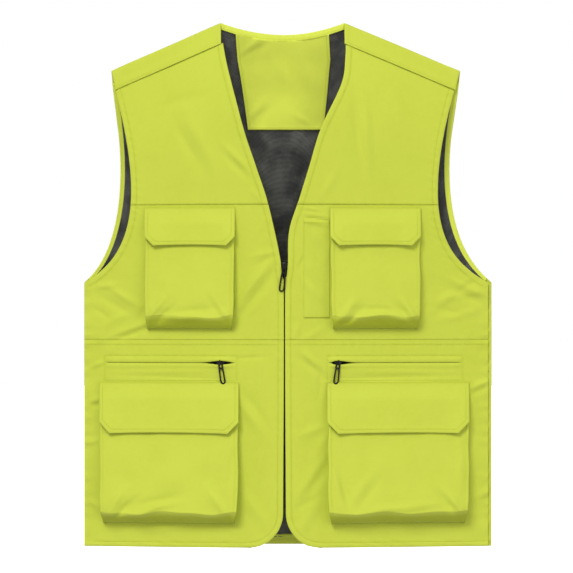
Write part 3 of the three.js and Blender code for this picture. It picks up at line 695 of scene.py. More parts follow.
def netting(name, cord, gap):
    """Rows of holes, each row half a hole further on: a hole wherever a sine along the row times a
    sine down is clear of 0, on either side of it."""
    made = Finish(name, Specular_IOR_Level=0.35)
    place, across_cloth, down_cloth = made.threads()
    wobble = made.noise(place, 0.5, 2.0) * 0.9
    first = (across_cloth * (FULL_TURN / NET_PITCH) + wobble).sine()
    second = (down_cloth * (FULL_TURN / (NET_PITCH * 1.25)) + wobble).sine()
    odd_holes = (first * second).step(0.05, 0.5)
    even_holes = (first * second * -1.0).step(0.05, 0.5)
    open_share = odd_holes + even_holes
    shine = made.noise(place, 0.03, 3.0)
    bright = shade(cord[0] * CORD_SHINE, cord[1] * CORD_SHINE, cord[2] * (CORD_SHINE - 0.1))
    lit = made.mix(shade(*cord), bright, shine.step(0.42, 0.62))
    return made.dress(made.mix(lit, shade(*gap), open_share), 0.62 + open_share * 0.3,
                      1.0 - open_share, 0.8, 0.35)


net = netting("mesh_lining", (0.115, 0.117, 0.108), (0.013, 0.013, 0.012))


# %% Zip ribbon, thread, hook and loop
def ribbed(name, colour, deep, pitch, lift):
    """A ribbed weave: a sine across, plus a finer and weaker one along the ribs."""
    made = Finish(name, Specular_IOR_Level=0.3)
    place, across_cloth, down_cloth = made.threads()
    rib = (across_cloth * (FULL_TURN / pitch)).sine() * 0.5 + 0.5
    cross = (down_cloth * (FULL_TURN / (pitch * 0.6))).sine() * 0.25
    fluff = made.noise(place, 1.6, 4.0, 0.7)
    colours = made.mix(shade(*deep), shade(*colour), (rib + cross + fluff * 0.5).step(0.1, 1.3))
    return made.dress(colours, 0.7 + fluff * 0.2, rib + cross + fluff, 0.7, lift)


ribbon = ribbed("zip_ribbon", (0.02, 0.02, 0.021), (0.006, 0.006, 0.006), 1.1, 0.2)
fuzzy = ribbed("hook_and_loop", (0.50, 0.58, 0.05), (0.30, 0.36, 0.02), 1.6, 0.5)


def solid(name, colour, deep, scale, roughness, lift, **constants):
    """A hard finish or a thread: noise over the object's own coordinates, for grain and wear."""
    made = Finish(name, **constants)
    place = made.node("ShaderNodeTexCoord", {}, {}, "Object")
    grain = made.noise(place, scale, 5.0, 0.6)
    wear = made.noise(place, scale * 0.12, 3.0)
    colours = made.mix(shade(*colour), shade(*deep), (grain * 0.6 + wear * 0.5).step(0.35, 0.8))
    return made.dress(colours, roughness + grain * 0.14, grain, 0.4, lift)


thread = solid("sewing_thread", (0.57, 0.64, 0.07), (0.38, 0.44, 0.03), 1800.0, 0.6, 0.06,
               Specular_IOR_Level=0.3)
gunmetal = solid("slider_metal", (0.03, 0.03, 0.031), (0.01, 0.01, 0.011), 900.0, 0.28, 0.02,
                 Metallic=0.85)
black_nylon = solid("pull_plastic", (0.008, 0.008, 0.008), (0.003, 0.003, 0.003), 1200.0, 0.5, 0.02,
                    Specular_IOR_Level=0.2)

# %% [markdown]
# ## Rows of stitches
#
# A row of lockstitch is a line of short raised threads. Each one here is a slim block of eight
# points, which is enough, as there are hundreds of them on each front. The stitches of one cloth are
# one mesh, so they ride with it.

# %% Stitches along lines
STITCH_PITCH, STITCH_LONG, STITCH_WIDE = 3.3, 2.5, 0.55
STITCH_LIFT = 0.05  # how far in front of the cloth's face a stitch lies


def stitches(name, lines):
    """Blocks along lines of x, y, z points: each runs from one quarter point of the line to the
    fourth after it, lies on the cloth, and is narrower at its top."""
    spots, ways = [], []
    for line in lines:
        row = evenly(line, STITCH_PITCH / 4)
        way = row[4::4] - row[:-4:4][:len(row[4::4])]
        spots.append((row[4::4] + row[:-4:4][:len(way)]) / 2)
        ways.append(way / np.linalg.norm(way, axis=1)[:, None])
    spot, way = hang(np.vstack(spots)), np.vstack(ways)
    up = np.array([0.0, -1.0, 0.0]) if spot[:, 1].mean() < 0 else np.array([0.0, 1.0, 0.0])
    aside = np.cross(way, up)
    aside /= np.linalg.norm(aside, axis=1)[:, None]
    corners = []
    for rise, wide, long in ((-0.25, 1.0, 1.0), (0.32, 0.55, 0.8)):
        for a, b in ((-1, -1), (1, -1), (1, 1), (-1, 1)):
            corners.append(spot + way * (a * long * STITCH_LONG / 2)
                           + aside * (b * wide * STITCH_WIDE / 2) + up * rise)
    vertices = np.stack(corners, axis=1)
    box_faces = np.array([(0, 3, 2, 1), (4, 5, 6, 7), (0, 1, 5, 4), (1, 2, 6, 5), (2, 3, 7, 6),
                          (3, 0, 4, 7)])
    faces = box_faces[None] + 8 * np.arange(len(spot))[:, None, None]
    centre = vertices[0].mean(0)
    first = vertices[0][box_faces[0]]
    outward = np.cross(first[1] - first[0], first[2] - first[1]) @ (first.mean(0) - centre)
    if outward < 0:
        faces = faces[..., ::-1]
    print(f"{name}: {len(spot)} stitches")
    return new_mesh(name, vertices * MM, faces, thread)


print("a stitch every", STITCH_PITCH, "mm")

# %% [markdown]
# ## The back
#
# The back hangs from the shoulder yokes: a yoke across the top, one large panel below it, and a row
# of stitches along the seam between them. Nothing of it shows from the front but its inside, so its
# shape follows the fronts and the way such vests are sewn.

# %% Back yoke and back panel
def back_relief(x, z):
    """The back's folds: slow waves, puckers by its seams and turned edges."""
    to_hole = distance(np.abs(x), z, back_hole_line)
    to_hem = z - hem_z
    calm = smooth(to_hole / 16) * smooth((ridge(x) - yoke_width - z) / 20)
    folds_here = fold(x, z, (-150, -420), 62, 90, 12, 1.8) + fold(x, z, (165, -470), -58, 80, 12, 1.8)
    folds_here = folds_here + fold(x, z, (-60, -560), 84, 70, 10, 1.2)
    folds_here = folds_here + fold(x, z, (40, -250), 75, 60, 12, 1.1)
    height = (waves(x, z, 5, height=0.8) + waves(x, z, 12, (20, 45), 7, 0.1) + folds_here) * calm
    height = height + pucker(x, z - back_yoke_z, 15, 9, 0.35) + pucker(x, to_hem - 7, 14, 8, 0.3)
    height = height + pucker(z, chest_half - np.abs(x), 19, 13, 0.5) * (z < underarm_z - 8)
    height = height + edge_relief(to_hole) + edge_relief(to_hem, HEM_STITCH)
    return height + 0.8 * smooth(z - back_yoke_z) * (1 - smooth((z - back_yoke_z - 8) / 2))


def back_cloth(x, z):
    """The y of the back's outer face."""
    return back_y(x, z) + back_relief(x, z)


def spaced(start, end, step, near=(), reach=9.0, fine=1.0):
    """Places from start to end, a step apart, and only fine apart within reach of the near ones.
    A place that comes too close to the one before it is left out."""
    low, high = min(start, end), max(start, end)
    coarse = np.linspace(low, high, int((high - low) / step) + 1)
    extra = [np.arange(at - reach, at + reach, fine) for at in near]
    every = np.unique(np.round(np.concatenate([coarse, *extra]), 4)) if near else coarse
    every = every[(every >= low) & (every <= high)]
    kept = every[np.concatenate([[True], np.diff(every) > fine * 0.55])]
    kept[0], kept[-1] = low, high
    return kept if start < end else kept[::-1]


edge_columns = np.array([0, 0.6, 1.3, 2.2, 3.4, 4.8, 6.2, 7.4, 8.4, 10, 12.5])  # from an edge


def shares_between(width, step):
    """Shares from -1 to 1 across a row, with closer columns near both edges."""
    inner = np.linspace(edge_columns[-1], width - edge_columns[-1], int(width / step))
    places = np.concatenate([edge_columns[:-1], inner, width - edge_columns[:-1][::-1]])
    return (places / width * 2 - 1)[None, :]


BACK_STEP = 4.0      # between the rows and the columns of the back's grids
SHELL_THICK = 1.0    # of the outer cloth
rows = spaced(back_yoke_z - 0.2, hem_z, BACK_STEP, [hem_z + 5, back_yoke_z - 4])
x = back_outer(rows)[:, None] * shares_between(2 * chest_half, BACK_STEP)
z = np.broadcast_to(rows[:, None], x.shape)
points = np.stack([x, back_cloth(x, z), z], axis=-1)
flat = np.stack([x, back_y(x, z), z], axis=-1)
# Painted shade along the hem's row of stitches and the yoke's seam.
back_seam_shade = np.clip(0.5 * bump(z - hem_z - HEM_STITCH, 1.2) + 0.8 * bump(z - back_yoke_z, 1.5), 0, 1)
made = cloth("back_panel_cloth", points, (0, 1, 0), SHELL_THICK, shell, back_seam_shade, flat=flat)
settle(made, "root", "shell_cloth", "back_panel")


def back_top(share):
    """The top edge of the back: along a yoke seam, then round the dip of the neck."""
    outer = back_outer(seam_end(back_outer, yoke_width))
    x = share * outer
    on_neck = np.abs(x) < neck_half
    return x, np.where(on_neck, back_neck(x) - 1.0, ridge(x) - yoke_width)


YOKE_HALF = 226   # about half the yoke's width
BACK_WIDTH = 440  # about the width between the armholes, for the columns
at_neck = neck_half / YOKE_HALF
share = np.sort(np.concatenate([shares_between(BACK_WIDTH, BACK_STEP)[0], [-at_neck, at_neck]]))
top_x, top_z = back_top(share)
down = spaced(0, 1, 0.035, [1.0], 0.06, 0.012)[:, None]
bottom_x = share * back_outer(back_yoke_z)
x = top_x + (bottom_x - top_x) * down
z = top_z + (back_yoke_z - top_z) * down
points = np.stack([x, back_cloth(x, z), z], axis=-1)
flat = np.stack([x, back_y(x, z), z], axis=-1)
# Painted shade along the yoke's seam.
made = cloth("back_yoke_cloth", points, (0, 1, 0), SHELL_THICK, shell,
             0.8 * bump(z - back_yoke_z, 1.4), flat=flat)
settle(made, "root", "shell_cloth", "back_yoke")


# %% Shoulder yokes
YOKE_STITCH = 24.4  # how far below the ridge the yoke's row of stitches runs
NECK_OVERLAP = 0.4  # how far the yoke reaches past the neck point


def shoulder(name, sign):
    """The strip from the front yoke seam up over the ridge and down to the back one. Its
    height is the ridge less the drop, and it rolls over the ridge in a small round."""
    drops = np.array([yoke_width, 27.4, 26.6, 25.4, 23.5, 21, 17, 13, 9, 6, 3.6, 1.8, 0.7, 0.15])
    drop = np.concatenate([drops, [0], drops[::-1]])[:, None]
    face = np.concatenate([-np.ones(len(drops)), [0], np.ones(len(drops))])[:, None]
    front_end = x_at(front_hole, seam_end(front_outer, yoke_width))
    back_end = x_at(back_hole, seam_end(back_outer, yoke_width))
    end = np.where(face < 0, front_end, back_end)
    tip_x = shoulder_tip[0] - 1.2
    end = tip_x + (end - tip_x) * (drop / yoke_width) ** 0.8
    share = (shares_between(end.max() - neck_half, 3.5) + 1) / 2
    x = neck_half - NECK_OVERLAP + (end - neck_half + NECK_OVERLAP) * share
    z = ridge(x) - drop
    surface = np.where(face < 0, front_y(x, z), back_y(x, z))
    rolled = np.sqrt(np.clip(1 - (1 - np.clip(drop / 7, 0, 1)) ** 2, 0, 1)) * 1.7
    bulge = face * (rolled + waves(x, z + 40 * face, 21 + sign, (30, 80), 6, 0.18)
                    * smooth(drop / 8) + 0.8 * smooth((drop - 18) / 2)
                    - 0.8 * bump(drop - yoke_width, 0.6) - 0.4 * bump(drop - YOKE_STITCH, 0.8))
    to_edge = np.minimum(x - neck_half + NECK_OVERLAP, end - x)
    bulge = bulge + face * np.minimum(0, edge_relief(to_edge, 5.5) - 0.4)
    y = np.where(drop > 0, surface + bulge, 0)
    rise = 0.8 * bump(drop, 4) - 0.6 * bump(to_edge, 1.5)
    points = np.stack([sign * x, y, z + rise], axis=-1)
    # Painted shade along the yoke's seam and its row of stitches.
    seam = 0.3 * bump(drop - yoke_width, 1.4) + 0.2 * bump(drop - YOKE_STITCH, 1.0)
    made = cloth(f"{name}_shoulder_cloth", points, (0, -1, 0.01), SHELL_THICK, shell, seam)
    return settle(made, "root", "shell_cloth", f"{name}_shoulder_yoke")


def face_out_of_vest(made, inner):
    """Turns the faces round if they look towards a point inside the vest, in metres."""
    mesh = made.data
    centres = np.zeros(len(mesh.polygons) * 3)
    normals = np.zeros(len(mesh.polygons) * 3)
    mesh.polygons.foreach_get("center", centres)
    mesh.polygons.foreach_get("normal", normals)
    away = centres.reshape(-1, 3) - np.array(inner)
    if (away * normals.reshape(-1, 3)).sum() < 0:
        mesh.flip_normals()


for name, sign in SIDES.items():
    face_out_of_vest(shoulder(name, sign), (sign * 0.15, 0, -0.12))

# %% [markdown]
# ## Inside the back
#
# Through the open neck and the armholes one sees the back's inside: the black net, with a lime panel
# at the neck where a hanging loop is sewn on many vests, a narrow binding round the neck, and lime
# strips along the armholes and the hem. They are layers, so each has its own distance from the
# back's outer face, and the net lies closer to it where the neck panel covers it.

# %% Lining of the back
def back_inner(x, z, inset):
    """The back's cloth, seen from within: a layer this far behind its outer face."""
    return back_y(x, z) + 0.3 * back_relief(x, z) - inset


LINING_TOP = -7    # the top row of the net and of the neck panel, at the neck points
LINING_EDGE = 6.6  # how far the net ends from the armhole's edge
NET_STEP, NET_THICK, FACING_THICK = 5.0, 0.5, 0.8
rows = spaced(LINING_TOP, hem_z + 10, NET_STEP)
half = neck_half - 1 + 2.05 * np.maximum(-rows - 16, 0)  # the net spreads below the neck points
half = np.minimum(half, back_outer(np.minimum(rows, -78)) - LINING_EDGE)
half = np.minimum(half, chest_half - 10)
x = half[:, None] * shares_between(BACK_WIDTH, NET_STEP)


def neck_dip(x, rows):
    """How far a row near the top sinks with the neck line, and less the lower it lies."""
    return np.minimum(back_neck(x), 0) * (1 - smooth((LINING_TOP - rows) / 70))


z = rows[:, None] + neck_dip(x, rows[:, None])
sag = (waves(x, z, 44, (60, 160), 8, 1.0) + waves(x, z, 45, (20, 50), 6, 0.25)
       + fold(x, z, (15, -205), 84, 26, 6, 3.4) + fold(x, z, (24, -212), 84, 24, 5, -2.4)
       + fold(x, z, (-22, -190), 75, 44, 9, 2.2) + fold(x, z, (-3, -168), 8, 20, 4, 1.6))
sag = sag * smooth((half[:, None] - np.abs(x)) / 30) * smooth((rows[:, None] - hem_z) / 60)
sag = sag * smooth((-146 - z) / 14) * 1.4  # it hangs free only below the neck panel
net_inset = 3.4 + smooth((np.abs(x) - 72) / 30)  # less behind the neck panel
points = np.stack([x, back_inner(x, z, net_inset) - np.clip(sag, -0.6, 5), z], axis=-1)
made = cloth("back_net", points, (0, -1, 0), NET_THICK, net)
settle(made, "root", "mesh_lining", "back_lining")


# %% The lime panel at the neck
PANEL_LOW = -141.5  # the panel's lower edge
FINE_STEP = 2.6     # between the rows and the columns of what shows from the front
rows = spaced(LINING_TOP, PANEL_LOW, FINE_STEP, [-141], 5, 0.8)
heights = [-LINING_TOP, 45, -PANEL_LOW]
right_edge = np.interp(-rows, heights, [63.5, 61.8, 49.4])[:, None]
left_edge = np.interp(-rows, heights, [61.8, 63.2, 52.6])[:, None]
share = (shares_between(120, FINE_STEP) + 1) / 2
x = -right_edge + (right_edge + left_edge) * share
z = rows[:, None] + neck_dip(x, rows[:, None])
edge_away = np.minimum(np.minimum(x + right_edge, left_edge - x), z - PANEL_LOW)
lift = (waves(x, z, 61, (40, 90), 7, 0.7) + fold(x, z, (-44, -30), 38, 20, 4, 1.6)
        + fold(x, z, (-36, -36), 38, 20, 4, -1.1) + fold(x, z, (-40, -118), 52, 18, 5, 1.8)
        + fold(x, z, (-31, -124), 52, 16, 5, -1.4) + fold(x, z, (28, -62), -74, 30, 8, 1.2)
        + fold(x, z, (-6, -60), -60, 30, 9, 1.0) + fold(x, z, (26, -128), -30, 16, 4, 1.0))
lift = np.maximum(lift, -0.9) * smooth(edge_away / 9)  # its valleys stay clear of the net
lift = lift + 0.5 * (1 - smooth((edge_away - 3) / 2)) - 0.5 * bump(edge_away, 1)
points = np.stack([x, back_inner(x, z, 5.4) - lift, z], axis=-1)
# Painted shade along the panel's row of stitches.
made = cloth("neck_lime_panel", points, (0, -1, 0), FACING_THICK, lit_facing,
             0.7 * bump(edge_away - 3.4, 0.9))
settle(made, "root", "facing_cloth", "back_neck_facing")


# %% The binding round the neck and the strip at the hem
# The binding's columns run up its inner face, where around goes from 0 to 1, over its top in half a
# circle, from 1 to 2, and down behind it, from 2 to 3.
x = np.linspace(-neck_half + 0.5, neck_half - 0.5, 120)[None, :]
around = np.concatenate([np.linspace(0, 1, 10), 1 + np.linspace(0, 1, 9)[1:],
                         2 + np.linspace(0, 1, 6)[1:]])[:, None]
inside_drop = (1 - np.clip(around, 0, 1)) * 8.0
over = np.clip(around - 1, 0, 1) * np.pi
behind_drop = np.clip(around - 2, 0, 1) * 5.0
BINDING_STITCH = 6.4  # how far below its top the binding is sewn on
top = back_neck(x) + 0.2
ruck = pucker(x, 0.0, 9, 1, 0.35) * (0.35 + bump(np.abs(x) - 76, 12)) * (around < 1.4)
z = top - inside_drop - behind_drop + 0.6 * np.sin(over)
inner_face, outer_face = -5.2, 2.6
over_top = inner_face + (outer_face - inner_face) * (1 - np.cos(over)) / 2
y = back_y(x, top - 6) + np.where(around <= 1, inner_face, np.where(around <= 2, over_top, outer_face))
sewn_in = bump(inside_drop - BINDING_STITCH, 0.8)
y = y + 0.4 * sewn_in - ruck
points = np.stack([np.broadcast_to(x, z.shape), y, z], axis=-1)
# Painted shade along the binding's row of stitches.
made = cloth("neck_binding", points, (0, -1, 0.3), FACING_THICK, lit_facing,
             np.broadcast_to(0.6 * sewn_in, z.shape))
face_out_of_vest(made, (0, 0.012, -0.02))
settle(made, "root", "facing_cloth", "back_neck_band")

rows = spaced(hem_z + 14, hem_z + 1, 1.6)
x = np.linspace(-1, 1, 110)[None, :] * (chest_half - 9) * np.ones((len(rows), 1))
z = np.broadcast_to(rows[:, None], x.shape)
points = np.stack([x, back_inner(x, z, 3.3) - 0.3 * bump(z - hem_z - 12, 1.5), z], axis=-1)
# Painted shade along the strip's row of stitches.
made = cloth("back_hem_strip", points, (0, -1, 0), FACING_THICK, lit_facing,
             0.6 * bump(z - hem_z - HEM_STITCH, 1.0))
settle(made, "root", "facing_cloth", "back_hem_facing")


# %% Lime strips along the armholes
STRIP_ENDS = -343  # above the underarm, where the strips end
ARM_STITCH = 6.8   # how far within the armhole's edge its strip is sewn on


def hole_strip(label, name, line, surface, start, stop, inset):
    """A band of cloth inside an armhole edge, from its very edge to 11 mm within: each row runs
    square to the edge. The inset is how far it lies inside the surface."""
    inwards = -1 if label == "back" else 1
    rows = evenly(line[(line[:, 1] <= start) & (line[:, 1] >= stop)], FINE_STEP)
    way = np.gradient(rows, axis=0)
    way /= np.linalg.norm(way, axis=1)[:, None]
    inward = np.column_stack([way[:, 1], -way[:, 0]])
    inward *= np.sign(-inward[:, :1])
    wide = np.array([0.5, 1.2, 2.4, 4, 5.6, 6.8, 7.8, 9.2, 10.9])[None, :]
    x = rows[:, :1] + inward[:, :1] * wide
    z = rows[:, 1:] + inward[:, 1:] * wide
    x = np.minimum(x, chest_half - 7)
    y = surface(x, z) + inset * inwards
    y = y + 0.3 * bump(wide - ARM_STITCH, 0.8) * inwards
    points = np.stack([SIDES[name] * x, y, z], axis=-1)
    # Painted shade along the strip's row of stitches.
    seam = np.broadcast_to(0.6 * bump(wide - ARM_STITCH, 0.9), x.shape)
    return cloth(f"{name}_{label}_armhole_strip", points, (0, inwards, 0), 0.7, lit_facing, seam)


for name, sign in SIDES.items():
    strip = hole_strip("back", name, back_hole, lambda x, z: back_inner(x, z, 0.0), -80, STRIP_ENDS, 3.2)
    settle(strip, "root", "facing_cloth", f"{name}_back_armhole_facing")

    def front_here(x, z, name=name, sign=sign):
        """The front's cloth at |x|."""
        return front_cloth(sign * x, z, name)

    strip = hole_strip("chest", name, front_hole, front_here, -92, chest_z, 2.3)
    bend_with(strip, name, "facing_cloth", f"{name}_chest_armhole_facing")
    strip = hole_strip("front", name, front_hole, front_here, chest_z, STRIP_ENDS, 2.3)
    settle(strip, f"{name}_front", "facing_cloth", f"{name}_front_armhole_facing")

# %% [markdown]
# ## The fronts
#
# Each front is three panels: the chest below the yoke seam, the middle between the chest and the
# waist seam, and the lower panel, which has the slit of its zip pocket. The fronts swing open on
# their side seams, but the chest panel also hangs from the yoke.

# %% Chest panels
def ruled(inner, outer, name):
    """A grid between two lines of points at |x| and z, with closer columns near both of them."""
    widths = np.abs(outer[:, :1] - inner[:, :1])
    share = (shares_between(widths.max(), FINE_STEP) + 1) / 2
    x = inner[:, :1] + (outer[:, :1] - inner[:, :1]) * share
    z = inner[:, 1:] + (outer[:, 1:] - inner[:, 1:]) * share
    return SIDES[name] * x, z


def inner_x(name, z):
    """The |x| of a front's inner edge at a height."""
    return x_at(front_inner[name], z)


def level_ruled(inner_at, outer_at, rows, name):
    """A grid of level rows between an inner and an outer |x| at each height."""
    return ruled(np.column_stack([inner_at, rows]), np.column_stack([outer_at, rows]), name)


def chest_lines(name, below, bottom, count, inside=0.0):
    """The chest's neck edge and armhole edge, from a line below the ridge down to the seam, in
    count rows. A panel of many rows has them closer at its ends, for its seams."""
    start = seam_end(lambda z: inner_x(name, z), below)
    stop = seam_end(front_outer, below)
    share = spaced(0, 1, 1 / count, [0, 1], 0.05, 0.008) if count > 40 else np.linspace(0, 1, count)
    zi, zo = start + (bottom - start) * share, stop + (bottom - stop) * share
    return (np.column_stack([inner_x(name, zi) + inside, zi]),
            np.column_stack([front_outer(zo) - inside, zo]))


def front_piece(label, name, x, z, seam=None, keep=None):
    """A panel of the front's shell over a grid of x and z."""
    points = np.stack([x, front_cloth(x, z, name), z], axis=-1)
    flat = np.stack([x, front_y(x, z), z], axis=-1)
    shade_here = seam_shade_depth(x, z, name) if seam is None else seam
    return cloth(f"{name}_{label}", points, (0, -1, 0), SHELL_THICK, shell, shade_here, keep, flat)


for name in SIDES:
    x, z = ruled(*chest_lines(name, yoke_width, chest_z, 72), name)
    below_yoke = ridge(x) - yoke_width - z
    shadow = np.clip(seam_shade_depth(x, z, name) + 0.3 * bump(below_yoke, 1.6), 0, 1)
    made = front_piece("chest_cloth", name, x, z, shadow)
    bend_with(made, name, "shell_cloth", f"{name}_chest_panel")

# %% Middle panels
for name in SIDES:
    rows = spaced(chest_z, waist_z + WAIST_OVERLAP, FINE_STEP, [chest_z - 3, waist_z + 5], 6, 0.9)
    x, z = level_ruled(inner_x(name, rows), front_outer(rows), rows, name)
    made = front_piece("middle_cloth", name, x, z)
    settle(made, f"{name}_front", "shell_cloth", f"{name}_middle_panel")


# %% [markdown]
# The lower panel has a rounded corner and the slit of the zip pocket. The slit could be cut with a
# boolean, but a row of the grid whose faces are left out keeps the mesh clean. The rows above and
# below it bend apart where the slider sits, since a slider is thicker than the closed teeth, and stay
# almost shut elsewhere.

# %% Lower panels with their slits
def slit_half(x, name):
    """Half the slit's opening: wide at the slider, narrow along the rest, shut at the ends."""
    start, end = slit_ends[name]
    towards_end = smooth((np.abs(x) - start) / 7) * smooth((end - np.abs(x)) / 7)
    return 0.1 + towards_end * (0.12 + 2.3 * bump(np.abs(x) - runner_x[name], RUNNER_REACH))


def lower_grid(name):
    """Rows from the waist to the hem, squeezed apart at the slit, and round the hem corner."""
    top = waist_z + WAIST_OVERLAP
    corner_top = hem_z + corner_radius
    turn = np.linspace(0, np.pi / 2, 34)
    corner = corner_top - corner_radius * np.sin(turn)
    above = spaced(top, slit_z, FINE_STEP, [top - 4, slit_z + FRAME_UP, slit_z + 3], 5, 0.9)
    below = spaced(slit_z, corner_top, FINE_STEP, [slit_z - 3, slit_z + FRAME_DOWN], 5, 0.9)[:-1]
    near_hem = corner[corner > hem_z + 9]
    last = spaced(hem_z + 8.4, hem_z, 0.9)
    rows = np.concatenate([above, below, near_hem, last])
    x, z = level_ruled(inner_x(name, rows), front_outer(rows), rows, name)
    push = slit_half(x, name) * np.exp(-np.abs(z - slit_z) / 6)
    split = len(above)
    z[:split] += push[:split]
    z[split:] -= push[split:]
    keep = np.ones((z.shape[0] - 1, z.shape[1] - 1), bool)
    start, end = slit_ends[name]
    middle = (np.abs(x[split - 1, :-1]) + np.abs(x[split - 1, 1:])) / 2
    keep[split - 1] = (middle < start) | (middle > end)
    return x, z, keep


for name in SIDES:
    x, z, keep = lower_grid(name)
    made = front_piece("lower_cloth", name, x, z, keep=keep)
    settle(made, f"{name}_front", "shell_cloth", f"{name}_lower_panel")


# %% [markdown]
# ## Inside the fronts
#
# A net lines each front from the yoke down to the zip pocket, whose bag hangs below it, and a lime
# strip backs the zip. They follow the folds of the shell, because they are sewn into it.

# %% Nets and strips behind the fronts
STRIP_WIDE = 28      # of the lime strip along the front zip
NET_BELOW_SLIT = 17  # how far below the zip pocket's slit the net ends


def behind_front(x, z, name, inset):
    """A layer behind a front's cloth, which shares a third of its folds."""
    return front_y(x, z) - 0.3 * front_relief(x, z, name) + inset


def strip_start(name, z):
    """The |x| where the lime strip begins at a height: past the zip tape and inside the edge."""
    return np.maximum(inner_x(name, z) + 1, zip_edge_half + 15)


for name, sign in SIDES.items():
    x, z = ruled(*chest_lines(name, yoke_width + 6, chest_z, 36, 7.5), name)
    points = np.stack([x, behind_front(x, z, name, 4.4), z], axis=-1)
    made = cloth(f"{name}_chest_net", points, (0, 1, 0), NET_THICK, net)
    bend_with(made, name, "mesh_lining", f"{name}_chest_lining")

    rows = spaced(chest_z, slit_z - NET_BELOW_SLIT, NET_STEP)
    x, z = level_ruled(strip_start(name, rows) + STRIP_WIDE - 1,
                       np.minimum(front_outer(rows) - 8.5, chest_half - 12), rows, name)
    sag = waves(x, z, 71 + sign, (50, 120), 7, 0.5) * smooth((z - slit_z + NET_BELOW_SLIT) / 30)
    points = np.stack([x, behind_front(x, z, name, 7.0) + sag, z], axis=-1)
    made = cloth(f"{name}_front_net", points, (0, 1, 0), NET_THICK, net)
    settle(made, f"{name}_front", "mesh_lining", f"{name}_front_lining")

    rows = spaced(chest_z, hem_z + 3, 4.0)
    start = strip_start(name, rows)
    x, z = level_ruled(start, start + STRIP_WIDE, rows, name)
    points = np.stack([x, behind_front(x, z, name, 5.0), z], axis=-1)
    edge_away = np.minimum(np.abs(x) - start[:, None], start[:, None] + STRIP_WIDE - np.abs(x))
    # Painted shade along the strip's rows of stitches.
    made = cloth(f"{name}_front_strip", points, (0, 1, 0), FACING_THICK, lit_facing,
                 0.6 * bump(edge_away - 4, 0.9))
    settle(made, f"{name}_front", "facing_cloth", f"{name}_front_facing")


# %% The zip pockets' bags
def pocket_pouch(name, sign):
    """The back wall of a flat bag, which pillows out from its sewn sides."""
    low, high = extent(f"{name}_zip_pocket_bag")
    start, end = np.sort(np.abs([low[0], high[0]]))
    across_bag = np.linspace(0, 1, 64)[None, :]
    down_bag = np.linspace(0, 1, 52)[:, None]
    x = start + (end - start) * across_bag + 0 * down_bag
    z = high[2] - (high[2] - low[2]) * down_bag + 0 * across_bag
    pillow = (1 - (2 * across_bag - 1) ** 8) * (1 - (2 * down_bag - 1) ** 8)
    wrinkle = waves(x, z, 81 + sign, (25, 70), 8, 0.5)
    y = front_y(x, z) + 7.4 + pillow * (3.6 + wrinkle)
    return np.stack([sign * x, y, z], axis=-1)


for name, sign in SIDES.items():
    made = cloth(f"{name}_pocket_pouch", pocket_pouch(name, sign), (0, 1, 0), 0.7, pocket_shell)
    settle(made, f"{name}_front", "pocket_cloth", f"{name}_zip_pocket_bag")

# %% [markdown]
# ## Bellows pockets
#
# A bellows pocket is a front sheet on folded side gussets and a bottom gusset, so that it stands off
# the vest and opens like an accordion. Seen from the front, its bottom edge is a soft crease with the
# bottom gusset in shadow below it. Its cross-section at each height is one line: from the panel up
# the pleated gusset, round the corner, over the crowned front and back down on the other side.

# %% Folds and places of the pockets
pocket_folds = {  # written as the folds of the fronts
    "right_chest": [((-171, -382), 50, 26, 6, 2.6), ((-160, -392), 44, 22, 6, -2.4),
                    ((-82, -386), 132, 24, 6, 1.8), ((-92, -378), 128, 20, 6, -1.6),
                    ((-124, -394), 4, 34, 6, 1.6), ((-120, -384), 6, 40, 6, -1.4)],
    "left_chest": [((80, -388), 50, 24, 6, 2.2), ((88, -394), 40, 20, 5, -2.2),
                   ((168, -384), 128, 26, 6, 2.2), ((158, -388), 134, 24, 6, -1.8),
                   ((122, -392), -4, 36, 5, 1.8), ((124, -383), -3, 38, 5, -1.3)],
    "right_lower": [((-228, -640), 48, 26, 7, 2.8), ((-214, -648), 40, 26, 6, -2.6),
                    ((-176, -648), 14, 36, 6, 2.0), ((-172, -638), 12, 36, 7, -1.4),
                    ((-78, -590), 78, 44, 8, 1.2), ((-86, -642), 130, 24, 7, 1.6),
                    ((-150, -600), 66, 44, 14, 1.0)],
    "left_lower": [((72, -618), -74, 26, 7, 1.8), ((80, -626), -70, 24, 7, -2.0),
                   ((102, -622), 52, 30, 8, 0.9), ((110, -630), 52, 28, 8, -0.8),
                   ((228, -640), 130, 26, 7, 2.0), ((218, -644), 134, 24, 6, -1.8),
                   ((160, -646), 6, 46, 6, 1.5), ((236, -585), 88, 40, 8, 1.0)],
}
pocket_sizes = {"chest": (17.0, 3.2, 19.0), "lower": (15.0, 3.6, 24.5)}  # gusset, mouth, crease


def pocket_place(name, kind):
    """A pocket's ends, heights and straight front line, from its CAD node."""
    low, high = extent(f"{name}_{kind}_pocket")
    start, end = np.sort(np.abs([low[0], high[0]]))
    line_start, line_end = front_y(start, hem_z), front_y(end, hem_z)
    middle = np.linspace(start, end, 17)
    chord = np.interp(middle, [start, end], [line_start, line_end])
    bulge = (chord - front_y(middle, hem_z)).max()
    gusset = pocket_sizes[kind][0]

    def line(x):
        return line_start + (x - start) * (line_end - line_start) / (end - start) - bulge

    return start, end, high[2], low[2] + gusset, low[2], line


def pocket_crown(share, z, mouth):
    """How far the front bulges, at a share of its width: as 1 less the fourth power of the
    distance from the middle, and more as it goes down from the mouth."""
    return (1 - (2 * share - 1) ** 4) * (1.6 + 1.4 * smooth((mouth - z) / 60))


def pocket_depth(z, mouth, crease, bottom, kind):
    """How far the front stands off: straight from mouth to crease, then round it and back in."""
    _, at_mouth, at_crease = pocket_sizes[kind]
    straight = at_mouth + (at_crease - at_mouth) * (mouth - z) / (mouth - crease)
    under = np.clip((z - bottom) / (crease - bottom), 0, 1)
    return np.where(z > crease, straight, at_crease * np.sqrt(under) * 0.98 + 0.4)


